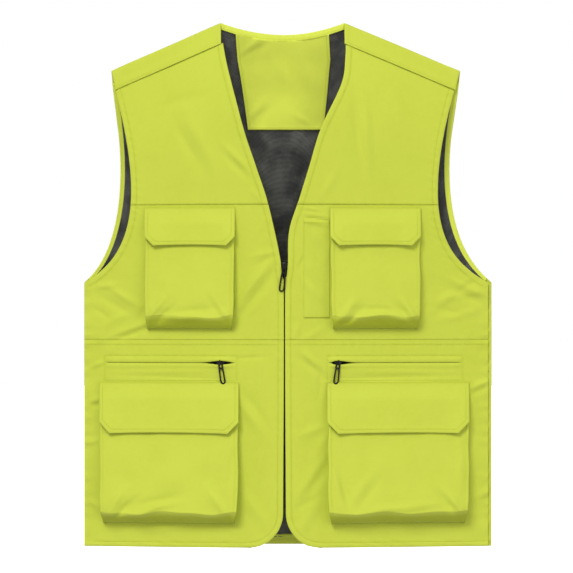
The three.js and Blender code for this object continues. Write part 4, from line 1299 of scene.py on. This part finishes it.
# %% The pocket sheet
def pocket_sheet(name, kind):
    """The sheet of a bellows pocket: rows run down, and columns run over gusset, front, gusset."""
    start, end, mouth, crease, bottom, line = pocket_place(name, kind)
    sign = SIDES[name]
    below = crease - (crease - bottom) * (1 - np.cos(np.linspace(0, np.pi / 2, 12))) ** 0.9
    rows = np.concatenate([spaced(mouth, crease + 3, FINE_STEP), crease + np.array([1.8, 0.8]), below])
    z = rows[:, None]
    up_gusset = np.linspace(0, 1, 9)[None, :-1]
    front_share = (shares_between(end - start, FINE_STEP) + 1) / 2
    depth = pocket_depth(z, mouth, crease, bottom, kind)
    full = np.clip(depth / pocket_sizes[kind][2], 0, 1)
    front_x = start + (end - start) * front_share
    front_face = line(front_x) - depth - pocket_crown(front_share, z, mouth) * full

    def gusset(side_x, direction, shares):
        """One side's columns from the panel up to the front, bowed inwards as a pleat."""
        base_x = side_x + direction * 4.0
        x = base_x + (side_x - base_x) * shares + direction * 6.0 * np.sin(np.pi * shares) * full
        base_y = front_y(base_x, hem_z) - 0.6
        corner_y = line(side_x) - depth
        return x + 0 * z, base_y + (corner_y - base_y) * shares ** 0.9

    left_x, left_y = gusset(start, 1, up_gusset)
    right_x, right_y = gusset(end, -1, up_gusset[:, ::-1])
    x = np.hstack([left_x, front_x + 0 * z, right_x])
    y = np.hstack([left_y, front_face, right_y])
    z = z + 0 * x
    on_front = np.hstack([0 * left_x, np.ones((len(rows), front_share.shape[1])), 0 * right_x])
    inside = np.minimum(x - start, end - x)
    lift = 1.7 * sum(fold(sign * x, z, at, angle, 0.9 * long, 0.72 * wide, height)
                     for at, angle, long, wide, height in pocket_folds[f"{name}_{kind}"])
    lift = lift + waves(x, z, 91 + len(kind) * sign, (30, 90), 8, 0.5)
    lift = lift * smooth(inside / 9) * smooth((z - bottom) / 12) * on_front
    near_crease = bump(z - crease, 9) * on_front
    lift = lift + near_crease * waves(x, 0 * z, 17 + sign, (22, 60), 6, 0.8)
    lift = lift + on_front * 0.5 * (1 - smooth((inside - 3) / 2)) * smooth(inside / 1.5)
    droop = near_crease * (waves(x, 0 * z, 55 + sign * len(kind), (30, 110), 5, 1.9) - 0.6)
    droop = droop + near_crease * 2.0 * bump(inside, 12)
    tuck = smooth((crease - z) / (crease - bottom))
    squeeze = 1 - 0.012 * bump(z - crease, 14) - 0.045 * tuck
    middle = (start + end) / 2
    x = middle + (x - middle) * squeeze + on_front * 0.6 * waves(0 * x, z, 27 + sign, (24, 70), 5, 1.0)
    y = np.minimum(y - lift, front_y(x, z) - 0.4)
    # Painted shade: darker along the stitches, over the side gussets, and all over the underside below the
    # crease, which faces down.
    seam = 0.4 * bump(inside - 4.2, 0.9) * on_front + 0.55 * (1 - on_front)
    seam = np.maximum(seam, smooth((crease - 1 - z) / 6))
    return np.stack([sign * x, y, z + droop], axis=-1), seam


for name in SIDES:
    for kind in pocket_sizes:
        points, seam = pocket_sheet(name, kind)
        made = cloth(f"{name}_{kind}_bag", points, (0, -1, 0), SHELL_THICK, pocket_shell, seam)
        settle(made, f"{name}_front", "pocket_cloth", f"{name}_{kind}_pocket")

# %% [markdown]
# ## Flaps
#
# A flap is a doubled sheet with its two lower corners cut off. It hangs from a hinge line above the
# pocket's mouth, follows the pocket's slope at a small distance and lifts a little at its corners.

# %% Flap sheets
flap_corner = {"chest": 12.0, "lower": 15.0}  # how much each cut corner takes off
FLAP_STITCH = 4.6  # how far within the flap's edge its row of stitches runs
FLAP_THICK = 1.5   # a flap is doubled


def flap_place(name, kind):
    """A flap's two ends as |x|, and its top and bottom."""
    low, high = extent(f"{name}_{kind}_flap")
    start, end = np.sort(np.abs([low[0], high[0]]))
    return start, end, high[2], low[2]


def flap_y(x, z, name, kind):
    """The flap's outer face at |x| and z: a smooth step up from the hinge, then the pocket's
    slope and a clearance, more at its free corners."""
    start, end, top, bottom = flap_place(name, kind)
    _, _, mouth, crease, pocket_bottom, line = pocket_place(name, kind)
    depth = pocket_depth(np.minimum(z, mouth), mouth, crease, pocket_bottom, kind)
    share = (x - start) / (end - start)
    crown = (1 - (2 * share - 1) ** 4) * 2.0
    step = smooth((top - z) / (top - mouth + 8))
    lift = 2.0 + step * (depth + 3.1 - 2.0) + crown * step
    low_share = smooth((top - z) / (top - bottom))
    corners = bump(x - start - 6, 17) + bump(end - 6 - x, 17)
    lift = lift + low_share**2 * (0.8 + 4.4 * corners)
    sign = SIDES[name]
    soft = waves(x, z, 33 + sign * len(kind), (40, 120), 7, 0.35) * smooth((top - z) / 14)
    return line(x) - lift - soft


def flap_bow(share, z, top, bottom):
    """How far the flap's middle rises above its ends, from none at the hinge."""
    return 1.3 * (1 - (2 * share - 1) ** 2) * smooth((top - z) / (top - bottom))


def flap_sheet(name, kind):
    """Rows from the hinge to the free edge, each as wide as the cut corners leave it."""
    start, end, top, bottom = flap_place(name, kind)
    cut = flap_corner[kind]
    rows = spaced(top, bottom, 2.4, [top - 2, bottom + 4, bottom + cut], 4, 0.9)
    rows = np.unique(np.concatenate([rows, [bottom + cut, bottom + 0.5]]))[::-1]
    chamfer = np.clip(bottom + cut - rows, 0, None)[:, None]
    share = (shares_between(end - start, FINE_STEP) + 1) / 2
    x = start + chamfer + (end - start - 2 * chamfer) * share
    z = rows[:, None] + 0 * x
    side_away = np.minimum(x - start - chamfer, end - chamfer - x)
    corner_away = np.where(chamfer > 0, side_away * 0.7, side_away)
    edge_away = np.minimum(corner_away, z - bottom)
    relief = edge_relief(edge_away, FLAP_STITCH) * smooth((top - z - 1) / 4)
    y = flap_y(x, z, name, kind) - 0.75 * relief
    # Painted shade along the row of stitches and at the flap's sewn top edge.
    seam = 0.22 * bump(edge_away - FLAP_STITCH, 0.9) + 0.6 * bump(top - z, 1.4)
    z = z + flap_bow(share, z, top, bottom)
    return np.stack([SIDES[name] * x, y, z], axis=-1), np.clip(seam, 0, 1)


for name in SIDES:
    for kind in flap_corner:
        points, seam = flap_sheet(name, kind)
        made = cloth(f"{name}_{kind}_flap_cloth", points, (0, -1, 0), FLAP_THICK, pocket_shell, seam)
        settle(made, f"{name}_{kind}_flap", "pocket_cloth", f"{name}_{kind}_flap")


# %% Hook and loop under the flaps
def fastener(name, kind, strip, label, surface, out):
    """A fluffy rectangle on the pocket or under the flap, with a grain of small loops. Out is
    -1 where it faces the front and 1 where it faces the back."""
    low, high = extent(f"{name}_{kind}_{strip}")
    start, end = np.sort(np.abs([low[0], high[0]]))
    x = np.linspace(start, end, 76)[None, :]
    z = np.linspace(high[2], low[2], 25)[:, None]
    edge = np.minimum(np.minimum(x - start, end - x), np.minimum(high[2] - z, z - low[2]))
    fluff = 0.22 * np.abs(np.sin(x * 2.1 + np.sin(z * 1.3)) * np.sin(z * 2.3 + np.sin(x * 1.1)))
    raised = fluff * smooth(edge / 1.2)
    y = surface(x, z) + out * raised + 0 * x
    points = np.stack([SIDES[name] * x + 0 * z, y, z + 0 * x], axis=-1)
    return cloth(f"{name}_{kind}_{label}", points, (0, out, 0), 0.4, fuzzy)


for name in SIDES:
    for kind in flap_corner:
        place = pocket_place(name, kind)

        def on_pocket(x, z, place=place, kind=kind):
            """Just in front of the pocket's face."""
            start, end, mouth, crease, bottom, line = place
            crown = pocket_crown((x - start) / (end - start), z, mouth)
            return line(x) - pocket_depth(z, mouth, crease, bottom, kind) - crown - 0.75

        def under_flap(x, z, name=name, kind=kind):
            """Just behind the flap."""
            return flap_y(x, z, name, kind) + 1.7

        made = fastener(name, kind, "hook_strip", "hooks", on_pocket, -1)
        settle(made, f"{name}_front", "hook_and_loop", f"{name}_{kind}_hook_strip")
        made = fastener(name, kind, "loop_strip", "loops", under_flap, 1)
        settle(made, f"{name}_{kind}_flap", "hook_and_loop", f"{name}_{kind}_loop_strip")


# %% The pen pocket
def pen_sheet():
    """A narrow patch with a soft crown, sewn at its sides and bottom and open at its top."""
    low, high = extent("left_pen_pocket")
    start, end = low[0], high[0] + 2
    share = (shares_between(end - start, 2.0) + 1) / 2
    rows = spaced(high[2] + 0.5, low[2], 2.4, [high[2] - 3, low[2] + 3], 5, 0.9)
    x = start + (end - start) * share + 0 * rows[:, None]
    z = rows[:, None] + 0 * x
    edge = np.minimum(np.minimum(x - start, end - x), z - low[2])
    lift = 1.0 + 0.5 * smooth(edge / 12) + waves(x, z, 66, (18, 50), 6, 0.35) * smooth(edge / 5)
    lift = lift + fold(x, z, (42, -268), -6, 18, 2.6, 1.0) - fold(x, z, (40, -274), -8, 16, 2.8, 0.9)
    lift = lift - 0.1 * bump(edge - 3, 0.8)
    mouth_edge = high[2] + 0.5 - z
    lift = lift + 0.4 * (1 - smooth((mouth_edge - 6) / 2)) - 0.4 * bump(mouth_edge - 6.5, 0.9)
    y = front_cloth(x, z, "left") - np.maximum(lift, 0.9)
    # Painted shade along the mouth's row of stitches and the sewn bottom.
    seam = 0.5 * bump(mouth_edge - 6.5, 0.9) + 0.7 * bump(z - low[2], 1.3)
    return np.stack([x, y, z], axis=-1), np.clip(seam, 0, 1)


points, seam = pen_sheet()
made = cloth("left_pen_bag", points, (0, -1, 0), 0.8, pocket_shell, seam)
settle(made, "left_front", "pocket_cloth", "left_pen_pocket")

# %% [markdown]
# ## Zips
#
# A coil zip is two woven ribbons with a spiral of nylon along each edge, which shows as a row of
# small teeth. The slider has a shield-shaped plate, a bridge and an arch that holds its pull, and the
# pull is one loop of round cord with a collar near its top, as on rucksacks.

# %% Ribbons and teeth
COIL_PITCH = 1.35  # from tooth to tooth, along the zip


def slit_line(x, name):
    """The y of the straight line that a pocket zip follows, in front of its coil, at |x|."""
    start, end = slit_ends[name]
    return np.interp(np.abs(x), [start, end], [front_y(start, hem_z), front_y(end, hem_z)])


def ribbon_grid(centre, direction, length, half_wide, y):
    """A flat ribbon through a centre point, along x or z, with a slight ripple."""
    along = np.linspace(-length / 2, length / 2, int(length / 4))[:, None]
    aside = np.linspace(-half_wide, half_wide, 9)[None, :]
    a, b = along + 0 * aside, aside + 0 * along
    x = centre[0] + (b if direction == "z" else a)
    z = centre[1] + (a if direction == "z" else b)
    return np.stack([x, y(x, z) + 0.12 * np.sin(a / 5.0), z], axis=-1)


def teeth(name, centres, along, wide, high, long):
    """A row of rounded blocks, one for each turn of the coil: long along the zip, wide across.
    Each has four rings of six points, of which the end ones are smaller and closed by caps."""
    ring = np.linspace(0, 2 * np.pi, 7)[:-1]
    along = np.array(along, float)
    depth = np.array([0.0, 1.0, 0.0])
    across_way = np.cross(along, depth)
    parts = []
    for place, size in ((-0.5, 0.55), (-0.3, 1.0), (0.3, 1.0), (0.5, 0.55)):
        ring_points = (np.cos(ring)[:, None] * along * long / 2 * size
                       + np.sin(ring)[:, None] * depth * high / 2 * size)
        parts.append(centres[:, None, :] + ring_points[None] + across_way * place * wide)
    vertices = np.concatenate(parts, axis=1)
    sides = []
    for level in range(3):
        for k in range(6):
            a, b = level * 6 + k, level * 6 + (k + 1) % 6
            sides.append((a, b, b + 6, a + 6))
    caps = [(0, 5, 4, 3), (0, 3, 2, 1), (18, 19, 20, 21), (18, 21, 22, 23)]
    one = np.array(sides + caps)
    first = vertices[0]
    quads = first[one]
    normals = np.cross(quads[:, 2] - quads[:, 0], quads[:, 3] - quads[:, 1])
    outward = (normals * (quads.mean(1) - first.mean(0))).sum()
    if outward < 0:
        one = one[:, ::-1]
    faces = one[None] + 24 * np.arange(len(centres))[:, None, None]
    print(f"{name}: {len(centres)} teeth")
    return new_mesh(name, vertices * MM, faces, black_nylon)


for name, sign in SIDES.items():
    low, high = extent(f"{name}_front_zip_tape")
    middle_z, length = (low[2] + high[2]) / 2, high[2] - low[2]
    coil_y = (low[1] + high[1]) / 2
    grid = ribbon_grid((sign * 7.6, middle_z), "z", length, 6.2, lambda x, z: coil_y + 0 * x)
    made = cloth(f"{name}_zip_ribbon", grid, (0, -1, 0), 0.6, ribbon)
    settle(made, f"{name}_front", "zip_tape", f"{name}_front_zip_tape")
    at = np.arange(low[2] + 1, high[2] - 0.5, COIL_PITCH) + 0.33 * sign
    centres = np.column_stack([np.full(len(at), sign * 1.02), np.full(len(at), coil_y), at])
    made = teeth(f"{name}_zip_teeth", centres, (0, 0, 1), 1.75, 1.9, 1.0)
    settle(made, f"{name}_front", "zip_tape", f"{name}_front_zip_tape")

    low, high = extent(f"{name}_pocket_zip_tape")
    middle_x, length = (low[0] + high[0]) / 2, high[0] - low[0] - 1
    start, end = slit_ends[name]

    def pocket_coil_y(x, name=name):
        """The middle of the pocket zip's coil, behind the lips of the slit."""
        return slit_line(x, name) + 4.1

    grid = ribbon_grid((middle_x, slit_z), "x", length, 8.5, lambda x, z: pocket_coil_y(x) + 0.9)
    made = cloth(f"{name}_pocket_ribbon", grid, (0, -1, 0), 0.6, ribbon)
    settle(made, f"{name}_front", "zip_tape", f"{name}_pocket_zip_tape")
    at = np.arange(start + 1, end - 1, COIL_PITCH) * sign
    centres = np.column_stack([at, pocket_coil_y(at), np.full(len(at), slit_z)])
    made = teeth(f"{name}_pocket_teeth", centres, (1, 0, 0), 3.0, 1.9, 1.0)
    settle(made, f"{name}_front", "zip_tape", f"{name}_pocket_zip_tape")


# %% Round bars and plates
def tube(path, radius, sides, closed=False):
    """A round bar along a path: a ring of points, square to the path, at each of its points. A
    closed one runs in a loop."""
    way = np.gradient(path, axis=0)
    if closed:
        way = np.roll(path, -1, axis=0) - np.roll(path, 1, axis=0)
    way /= np.linalg.norm(way, axis=1)[:, None]
    up = np.array([0.0, 1.0, 0.0])
    first = np.cross(way, up)
    first /= np.linalg.norm(first, axis=1)[:, None]
    second = np.cross(first, way)
    angle = np.linspace(0, 2 * np.pi, sides, endpoint=False)
    radius = np.broadcast_to(np.asarray(radius, float), (len(path),))[:, None, None]
    ring = (np.cos(angle)[None, :, None] * first[:, None, :]
            + np.sin(angle)[None, :, None] * second[:, None, :]) * radius
    points = path[:, None, :] + ring
    quads = quads_of(len(path) + (1 if closed else 0), sides, ring=True)
    if closed:
        quads = quads % (len(path) * sides)
    return points.reshape(-1, 3), quads.reshape(-1, 4)


def shield(outline_points, front, back, soft=0.35):
    """A plate with a rounded rim: its outline at the rim, and a slightly smaller one on each face,
    closed by quads from one side to the other."""
    o = np.array(outline_points, float)
    centre = o.mean(0)
    small = centre + (o - centre) * (1 - soft / np.abs(o - centre).max())
    half = centre + (o - centre) * 0.5
    levels = [(half, front), (small, front), (o, front + soft), (o, back - soft), (small, back),
              (half, back)]
    points = np.vstack([np.column_stack([p[:, 0], np.full(len(o), y), p[:, 1]]) for p, y in levels])
    count = len(o)
    quads = quads_of(len(levels), count, ring=True).reshape(-1, 4)
    caps = np.array([(k, k + 1, count - 2 - k, count - 1 - k) for k in range(count // 2 - 1)])
    other = caps[:, ::-1] + (len(levels) - 1) * count
    return points, np.vstack([quads, caps, other])


def joined(name, parts, material):
    """Several closed parts as one mesh, each with its faces outwards."""
    vertices, faces, count = [], [], 0
    for points, quads in parts:
        q = points[quads]
        normals = np.cross(q[:, 2] - q[:, 0], q[:, 3] - q[:, 1])
        volume = (q.mean(1) * normals).sum()
        quads = quads if volume > 0 else quads[:, ::-1]
        vertices.append(points)
        faces.append(quads + count)
        count += len(points)
    return new_mesh(name, np.vstack(vertices) * MM, np.vstack(faces), material)


def capped_tube(path, radius):
    """A tube whose ends taper to almost a point, so that it is closed."""
    sides = 12
    ends = np.array([0.04, 0.6, 0.9])
    sizes = np.concatenate([ends, np.ones(len(path) - 6), ends[::-1]]) * radius
    points, quads = tube(path, sizes, sides)
    last = len(points) - sides
    caps = np.array([(k, k + 1, sides - 2 - k, sides - 1 - k) for k in range(sides // 2 - 1)])
    return points, np.vstack([quads, caps, caps[:, ::-1] + last])


def turned(points, angle, centre):
    """Points turned about a vertical line through a centre, by an angle in radians."""
    c, s = np.cos(angle), np.sin(angle)
    x, y = points[:, 0] - centre[0], points[:, 1] - centre[1]
    return np.column_stack([centre[0] + c * x - s * y, centre[1] + s * x + c * y, points[:, 2]])


# %% Sliders
def runner(name, centre, surface_y, reach, along_z, angle, node):
    """A slider: a plate behind the cloth, a slim bridge through the gap and an arch in front,
    which stands out by the reach. Its body has its node's name."""
    cx, cz = centre
    long, wide = 5.4, 4.2
    turn = np.linspace(0, 2 * np.pi, 24, endpoint=False) + np.pi / 24
    square = np.sign(np.cos(turn)) * np.abs(np.cos(turn)) ** 0.6
    taper = 1 - 0.22 * (1 - np.sin(turn)) / 2
    plate = np.column_stack([wide * square * taper, long * np.sign(np.sin(turn))
                             * np.abs(np.sin(turn)) ** 0.6])
    if not along_z:
        plate = plate[:, ::-1]
    plate = plate + [cx, cz]
    parts = [shield(plate, surface_y + 1.6, surface_y + 2.8)]
    bridge_turn = np.linspace(0, 2 * np.pi, 16, endpoint=False)
    bridge = np.column_stack([0.62 * np.cos(bridge_turn), 1.3 * np.sin(bridge_turn)])
    bridge = bridge if along_z else bridge[:, ::-1]
    parts.append(shield(bridge + [cx, cz], surface_y - reach + 1.6, surface_y + 1.8, 0.15))
    bow = np.linspace(0, np.pi, 22)
    path = np.column_stack([np.full(22, cx), surface_y - reach + 2.0 - 3.4 * np.sin(bow),
                            cz + 3.4 * np.cos(bow)])
    parts.append(capped_tube(path, 0.85))
    rail = np.linspace(-3.4, 3.4, 16)
    path = np.column_stack([np.full(16, cx), np.full(16, surface_y - reach + 1.9), cz + rail])
    parts.append(capped_tube(path, 0.8))
    parts = [(turned(points, angle, (cx, surface_y)), quads) for points, quads in parts]
    settle(joined(name, parts, gunmetal), node, "slider_metal", node)


# %% Pull loops
def pull_loop(name, pivot, length, top_half, low_half, lean, angle, node):
    """A closed loop of round cord through the slider's arch, narrow at the top and wide at the
    bottom, leaning a little to one side, with a collar a quarter of the way down."""
    t = np.linspace(0, 1, 30)
    half = top_half + (low_half - top_half) * smooth(t * 1.15)
    drop = -1.2 - t * (length - 1.2 - low_half)
    bottom = np.linspace(np.pi, 2 * np.pi, 22)[1:-1]
    top = np.linspace(0, np.pi, 14)[1:-1]
    x = np.concatenate([-half, low_half * np.cos(bottom), half[::-1], top_half * np.cos(top)])
    z = np.concatenate([drop, -(length - low_half) + low_half * np.sin(bottom), drop[::-1],
                        -1.2 + 1.3 * np.sin(top)])
    x = x + np.tan(lean) * z
    lie = 0.9 * smooth(-z / length)
    path = np.column_stack([pivot[0] + x, pivot[1] + lie, pivot[2] + z])
    parts = [tube(path, 1.08, 14, closed=True)]
    collar_z = -0.27 * length
    collar_half = float(np.interp(collar_z, drop[::-1], half[::-1]))
    rod = np.linspace(-collar_half - 0.9, collar_half + 0.9, 16)
    collar = np.column_stack([pivot[0] + rod + np.tan(lean) * collar_z,
                              np.full(16, pivot[1] + 0.9 * smooth(0.27)),
                              np.full(16, pivot[2] + collar_z)])
    parts.append(capped_tube(collar, 1.3))
    parts = [(turned(points, angle, pivot[:2]), quads) for points, quads in parts]
    settle(joined(name, parts, black_nylon), node, "pull_plastic", node)


# %% Sliders and pulls in their places
ARCH_IN = 2.6  # how far a pull's pivot lies behind the front of the CAD's slider
low, high = extent("front_zip_slider")
front_line = -seam_fold - torso_depth
front_reach = float(front_line - low[1]) - ARCH_IN
pivot = np.array([0.0, front_line - front_reach, (low[2] + high[2]) / 2])
runner("front_zip_runner", (0.0, pivot[2]), front_line, front_reach, True, 0.0, "front_zip_slider")
pull_low, _ = extent("front_zip_pull")
pull_loop("front_zip_loop", pivot, pivot[2] - pull_low[2] - 0.9, 1.7, 2.9, np.radians(7), 0.0,
          "front_zip_pull")
for name, sign in SIDES.items():
    low, _ = extent(f"{name}_pocket_zip_slider")
    centre_x = sign * runner_x[name]
    start, end = slit_ends[name]
    surface_y = float(slit_line(centre_x, name))
    slope = sign * float(np.arctan2(slit_line(end, name) - slit_line(start, name), end - start))
    reach = surface_y - float(low[1]) - ARCH_IN
    runner(f"{name}_pocket_runner", (centre_x, slit_z), surface_y, reach, False, slope,
           f"{name}_pocket_zip_slider")
    pull_low, _ = extent(f"{name}_pocket_zip_pull")
    pivot = np.array([centre_x, surface_y - reach, slit_z])
    pull_loop(f"{name}_pocket_loop", pivot, slit_z - pull_low[2] + 3.5, 2.2, 2.8,
              np.radians(-8 if name == "right" else 7), slope, f"{name}_pocket_zip_pull")

for node in ("front_zip_retainer_box", "front_zip_insertion_pin", "right_front_zip_top_stop",
             "left_front_zip_top_stop"):
    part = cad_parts[node]
    part.data.materials.clear()
    part.data.materials.append(black_nylon)
    soft = part.modifiers.new("rounded", "BEVEL")
    soft.width, soft.segments, soft.limit_method = 0.0003, 2, "ANGLE"
print("zips done")


# %% Lines of stitches
def moved_in(line, inside):
    """A line of |x| and z moved square to itself, away from the vest's edge."""
    way = np.gradient(line, axis=0)
    way /= np.linalg.norm(way, axis=1)[:, None]
    return line + inside * np.column_stack([-way[:, 1], way[:, 0]])


def level(start, end, z, count):
    """A level line from one |x| to another, as count points."""
    return np.column_stack([np.linspace(start, end, count), np.full(count, z)])


def on_front(line, name):
    """A line of |x| and z laid on a front's cloth."""
    x, z = SIDES[name] * line[:, 0], line[:, 1]
    return np.column_stack([x, front_cloth(x, z, name) - STITCH_LIFT, z])


def on_back(x, z, sign=1):
    """A line laid on the back's cloth."""
    return np.column_stack([sign * x, back_cloth(x, z) + STITCH_LIFT, z])


def edge_rows(name):
    """The lines of stitches along a front's inner edge and its armhole."""
    inner = moved_in(evenly(front_inner[name], LINE_STEP), STITCH_IN)
    hole = moved_in(hole_line, -STITCH_IN)
    return inner[inner[:, 1] > hem_z + HEM_STITCH], hole[hole[:, 0] < chest_half - 4]


def chest_rows(name):
    """The part of the edges' stitches between the yoke's seam and the chest's."""
    kept = [line[(line[:, 1] > chest_z) & (line[:, 1] < ridge(line[:, 0]) - yoke_width - 1)]
            for line in edge_rows(name)]
    return [on_front(line, name) for line in kept]


def front_rows(name):
    """The rest of the edges' stitches, and the rows at the waist, the hem and the pocket zip."""
    lines = [line[line[:, 1] < chest_z - 1] for line in edge_rows(name)]
    lines.append(level(12, chest_half - 2, waist_z - 2.6, 200))
    lines.append(level(corner_radius + 4, chest_half - 2, hem_z + HEM_STITCH, 200))
    lines.append(slit_frame(name))
    lines.append(level(*slit_ends[name], slit_z + FRAME_DOWN, 120))
    return [on_front(line, name) for line in lines]


def flap_row(name, kind):
    """The row along a flap's free edge and across its cut corners."""
    start, end, top, bottom = flap_place(name, kind)
    s, e, b = start + FLAP_STITCH, end - FLAP_STITCH, bottom + 4.8
    c = flap_corner[kind] * 0.92
    line = evenly(np.array([(s, top - 6), (s, b + c), (s + c, b), (e - c, b), (e, b + c),
                            (e, top - 6)]), LINE_STEP)
    x, z = line[:, 0], line[:, 1]
    bow = flap_bow((x - start) / (end - start), z, top, bottom)
    return np.column_stack([SIDES[name] * x, flap_y(x, z, name, kind) - 0.1, z + bow])


def yoke_row(sign):
    """The row just above a yoke's front seam."""
    x = np.linspace(neck_half + 3, x_at(front_hole, seam_end(front_outer, YOKE_STITCH)) - 3, 120)
    z = ridge(x) - YOKE_STITCH
    return np.column_stack([sign * x, front_y(x, z) - 1.75, z])


def back_rows():
    """The rows along the back's armholes, below its yoke and above its hem."""
    hole = moved_in(back_hole_line, -STITCH_IN)
    hole = hole[(hole[:, 1] < -96) & (hole[:, 0] < chest_half - 4)]
    rows = [on_back(hole[:, 0], hole[:, 1], sign) for sign in (-1, 1)]
    for height in (back_yoke_z + 6.5, hem_z + HEM_STITCH):
        x = np.linspace(-0.97, 0.97, 400) * back_outer(height)
        rows.append(on_back(x, np.full(400, height)))
    return rows


# %% Sewing
def sew(name, lines):
    """Stitches along many lines as one piece."""
    made = stitches(f"{name}_stitches", lines)
    return made


for name in SIDES:
    made = sew(f"{name}_chest", chest_rows(name))
    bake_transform(made)
    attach(sew(f"{name}_front", front_rows(name)), f"{name}_front")
    for kind in flap_corner:
        made = sew(f"{name}_{kind}_flap", [flap_row(name, kind)])
        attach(made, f"{name}_{kind}_flap")
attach(sew("yoke", [yoke_row(sign) for sign in (-1, 1)]), "root")
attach(sew("back", back_rows()), "root")
print("sewing done")

# %% [markdown]
# ## The studio
#
# The vest hangs in front of white, in soft light: a broad sun from the upper left of the camera gives
# the folds their shape, a weaker one fills from the right, and the white surroundings do the rest.
# The pale floor lies just below the hem. The camera stands far off with a long lens, as a catalogue
# camera does, so that little is distorted.

# %% Floor and surroundings
def plain_floor():
    """One large pale square a little below the hem, which glows a little so that it stays pale."""
    made = Finish("studio_floor", Roughness=0.9, Emission_Strength=0.95)
    made.shader.inputs["Base Color"].default_value = shade(0.86, 0.86, 0.86)
    made.shader.inputs["Emission Color"].default_value = shade(1, 1, 1)
    size, height = 12.0, hem_z * MM - 0.05
    corners = np.array([(-size, -size, height), (size, -size, height), (size, size, height),
                        (-size, size, height)])
    floor = new_mesh("studio_floor", corners, np.array([[0, 1, 2, 3]]), made.material)
    floor.visible_diffuse = False


plain_floor()
world = bpy.data.worlds.new("studio")
bpy.context.scene.world = world
world.use_nodes = True
sky = world.node_tree
seen, light = sky.nodes["Background"], sky.nodes.new("ShaderNodeBackground")
seen.inputs["Color"].default_value = shade(1, 1, 1)
light.inputs["Color"].default_value = shade(1, 1, 1)
light.inputs["Strength"].default_value = 0.46
ray, choose = sky.nodes.new("ShaderNodeLightPath"), sky.nodes.new("ShaderNodeMixShader")
sky.links.new(ray.outputs["Is Camera Ray"], choose.inputs[0])
sky.links.new(light.outputs[0], choose.inputs[1])
sky.links.new(seen.outputs[0], choose.inputs[2])
sky.links.new(choose.outputs[0], sky.nodes["World Output"].inputs["Surface"])


# %% Lights and camera
def sun(name, way, strength, spread):
    """A sun that shines along a direction, and looks as wide as spread, in degrees."""
    lamp = bpy.data.lights.new(name, "SUN")
    lamp.energy, lamp.angle = strength, np.radians(spread)
    made = bpy.data.objects.new(name, lamp)
    made.rotation_euler = Vector(way).to_track_quat("-Z", "Y").to_euler()
    bpy.context.scene.collection.objects.link(made)


sun("key_light", (0.24, 0.78, -0.62), 1.62, 22)
sun("fill_light", (-0.45, 0.9, -0.2), 0.55, 60)
sun("back_light", (0.1, -0.9, -0.5), 1.2, 40)

bpy.context.scene.view_settings.view_transform = "Standard"
VIEW_WIDTH, STAND_OFF, FOCUS_Y = 0.765, 6.0, -0.02
lens = bpy.data.cameras.new("catalogue_camera")
lens.sensor_width = 36.0
lens.lens = 36.0 * STAND_OFF / VIEW_WIDTH
camera = bpy.data.objects.new("catalogue_camera", lens)
camera.location = (0.0027, FOCUS_Y - STAND_OFF, -0.3524)
camera.rotation_euler = (np.pi / 2, 0, 0)
bpy.context.scene.collection.objects.link(camera)
bpy.context.scene.camera = camera
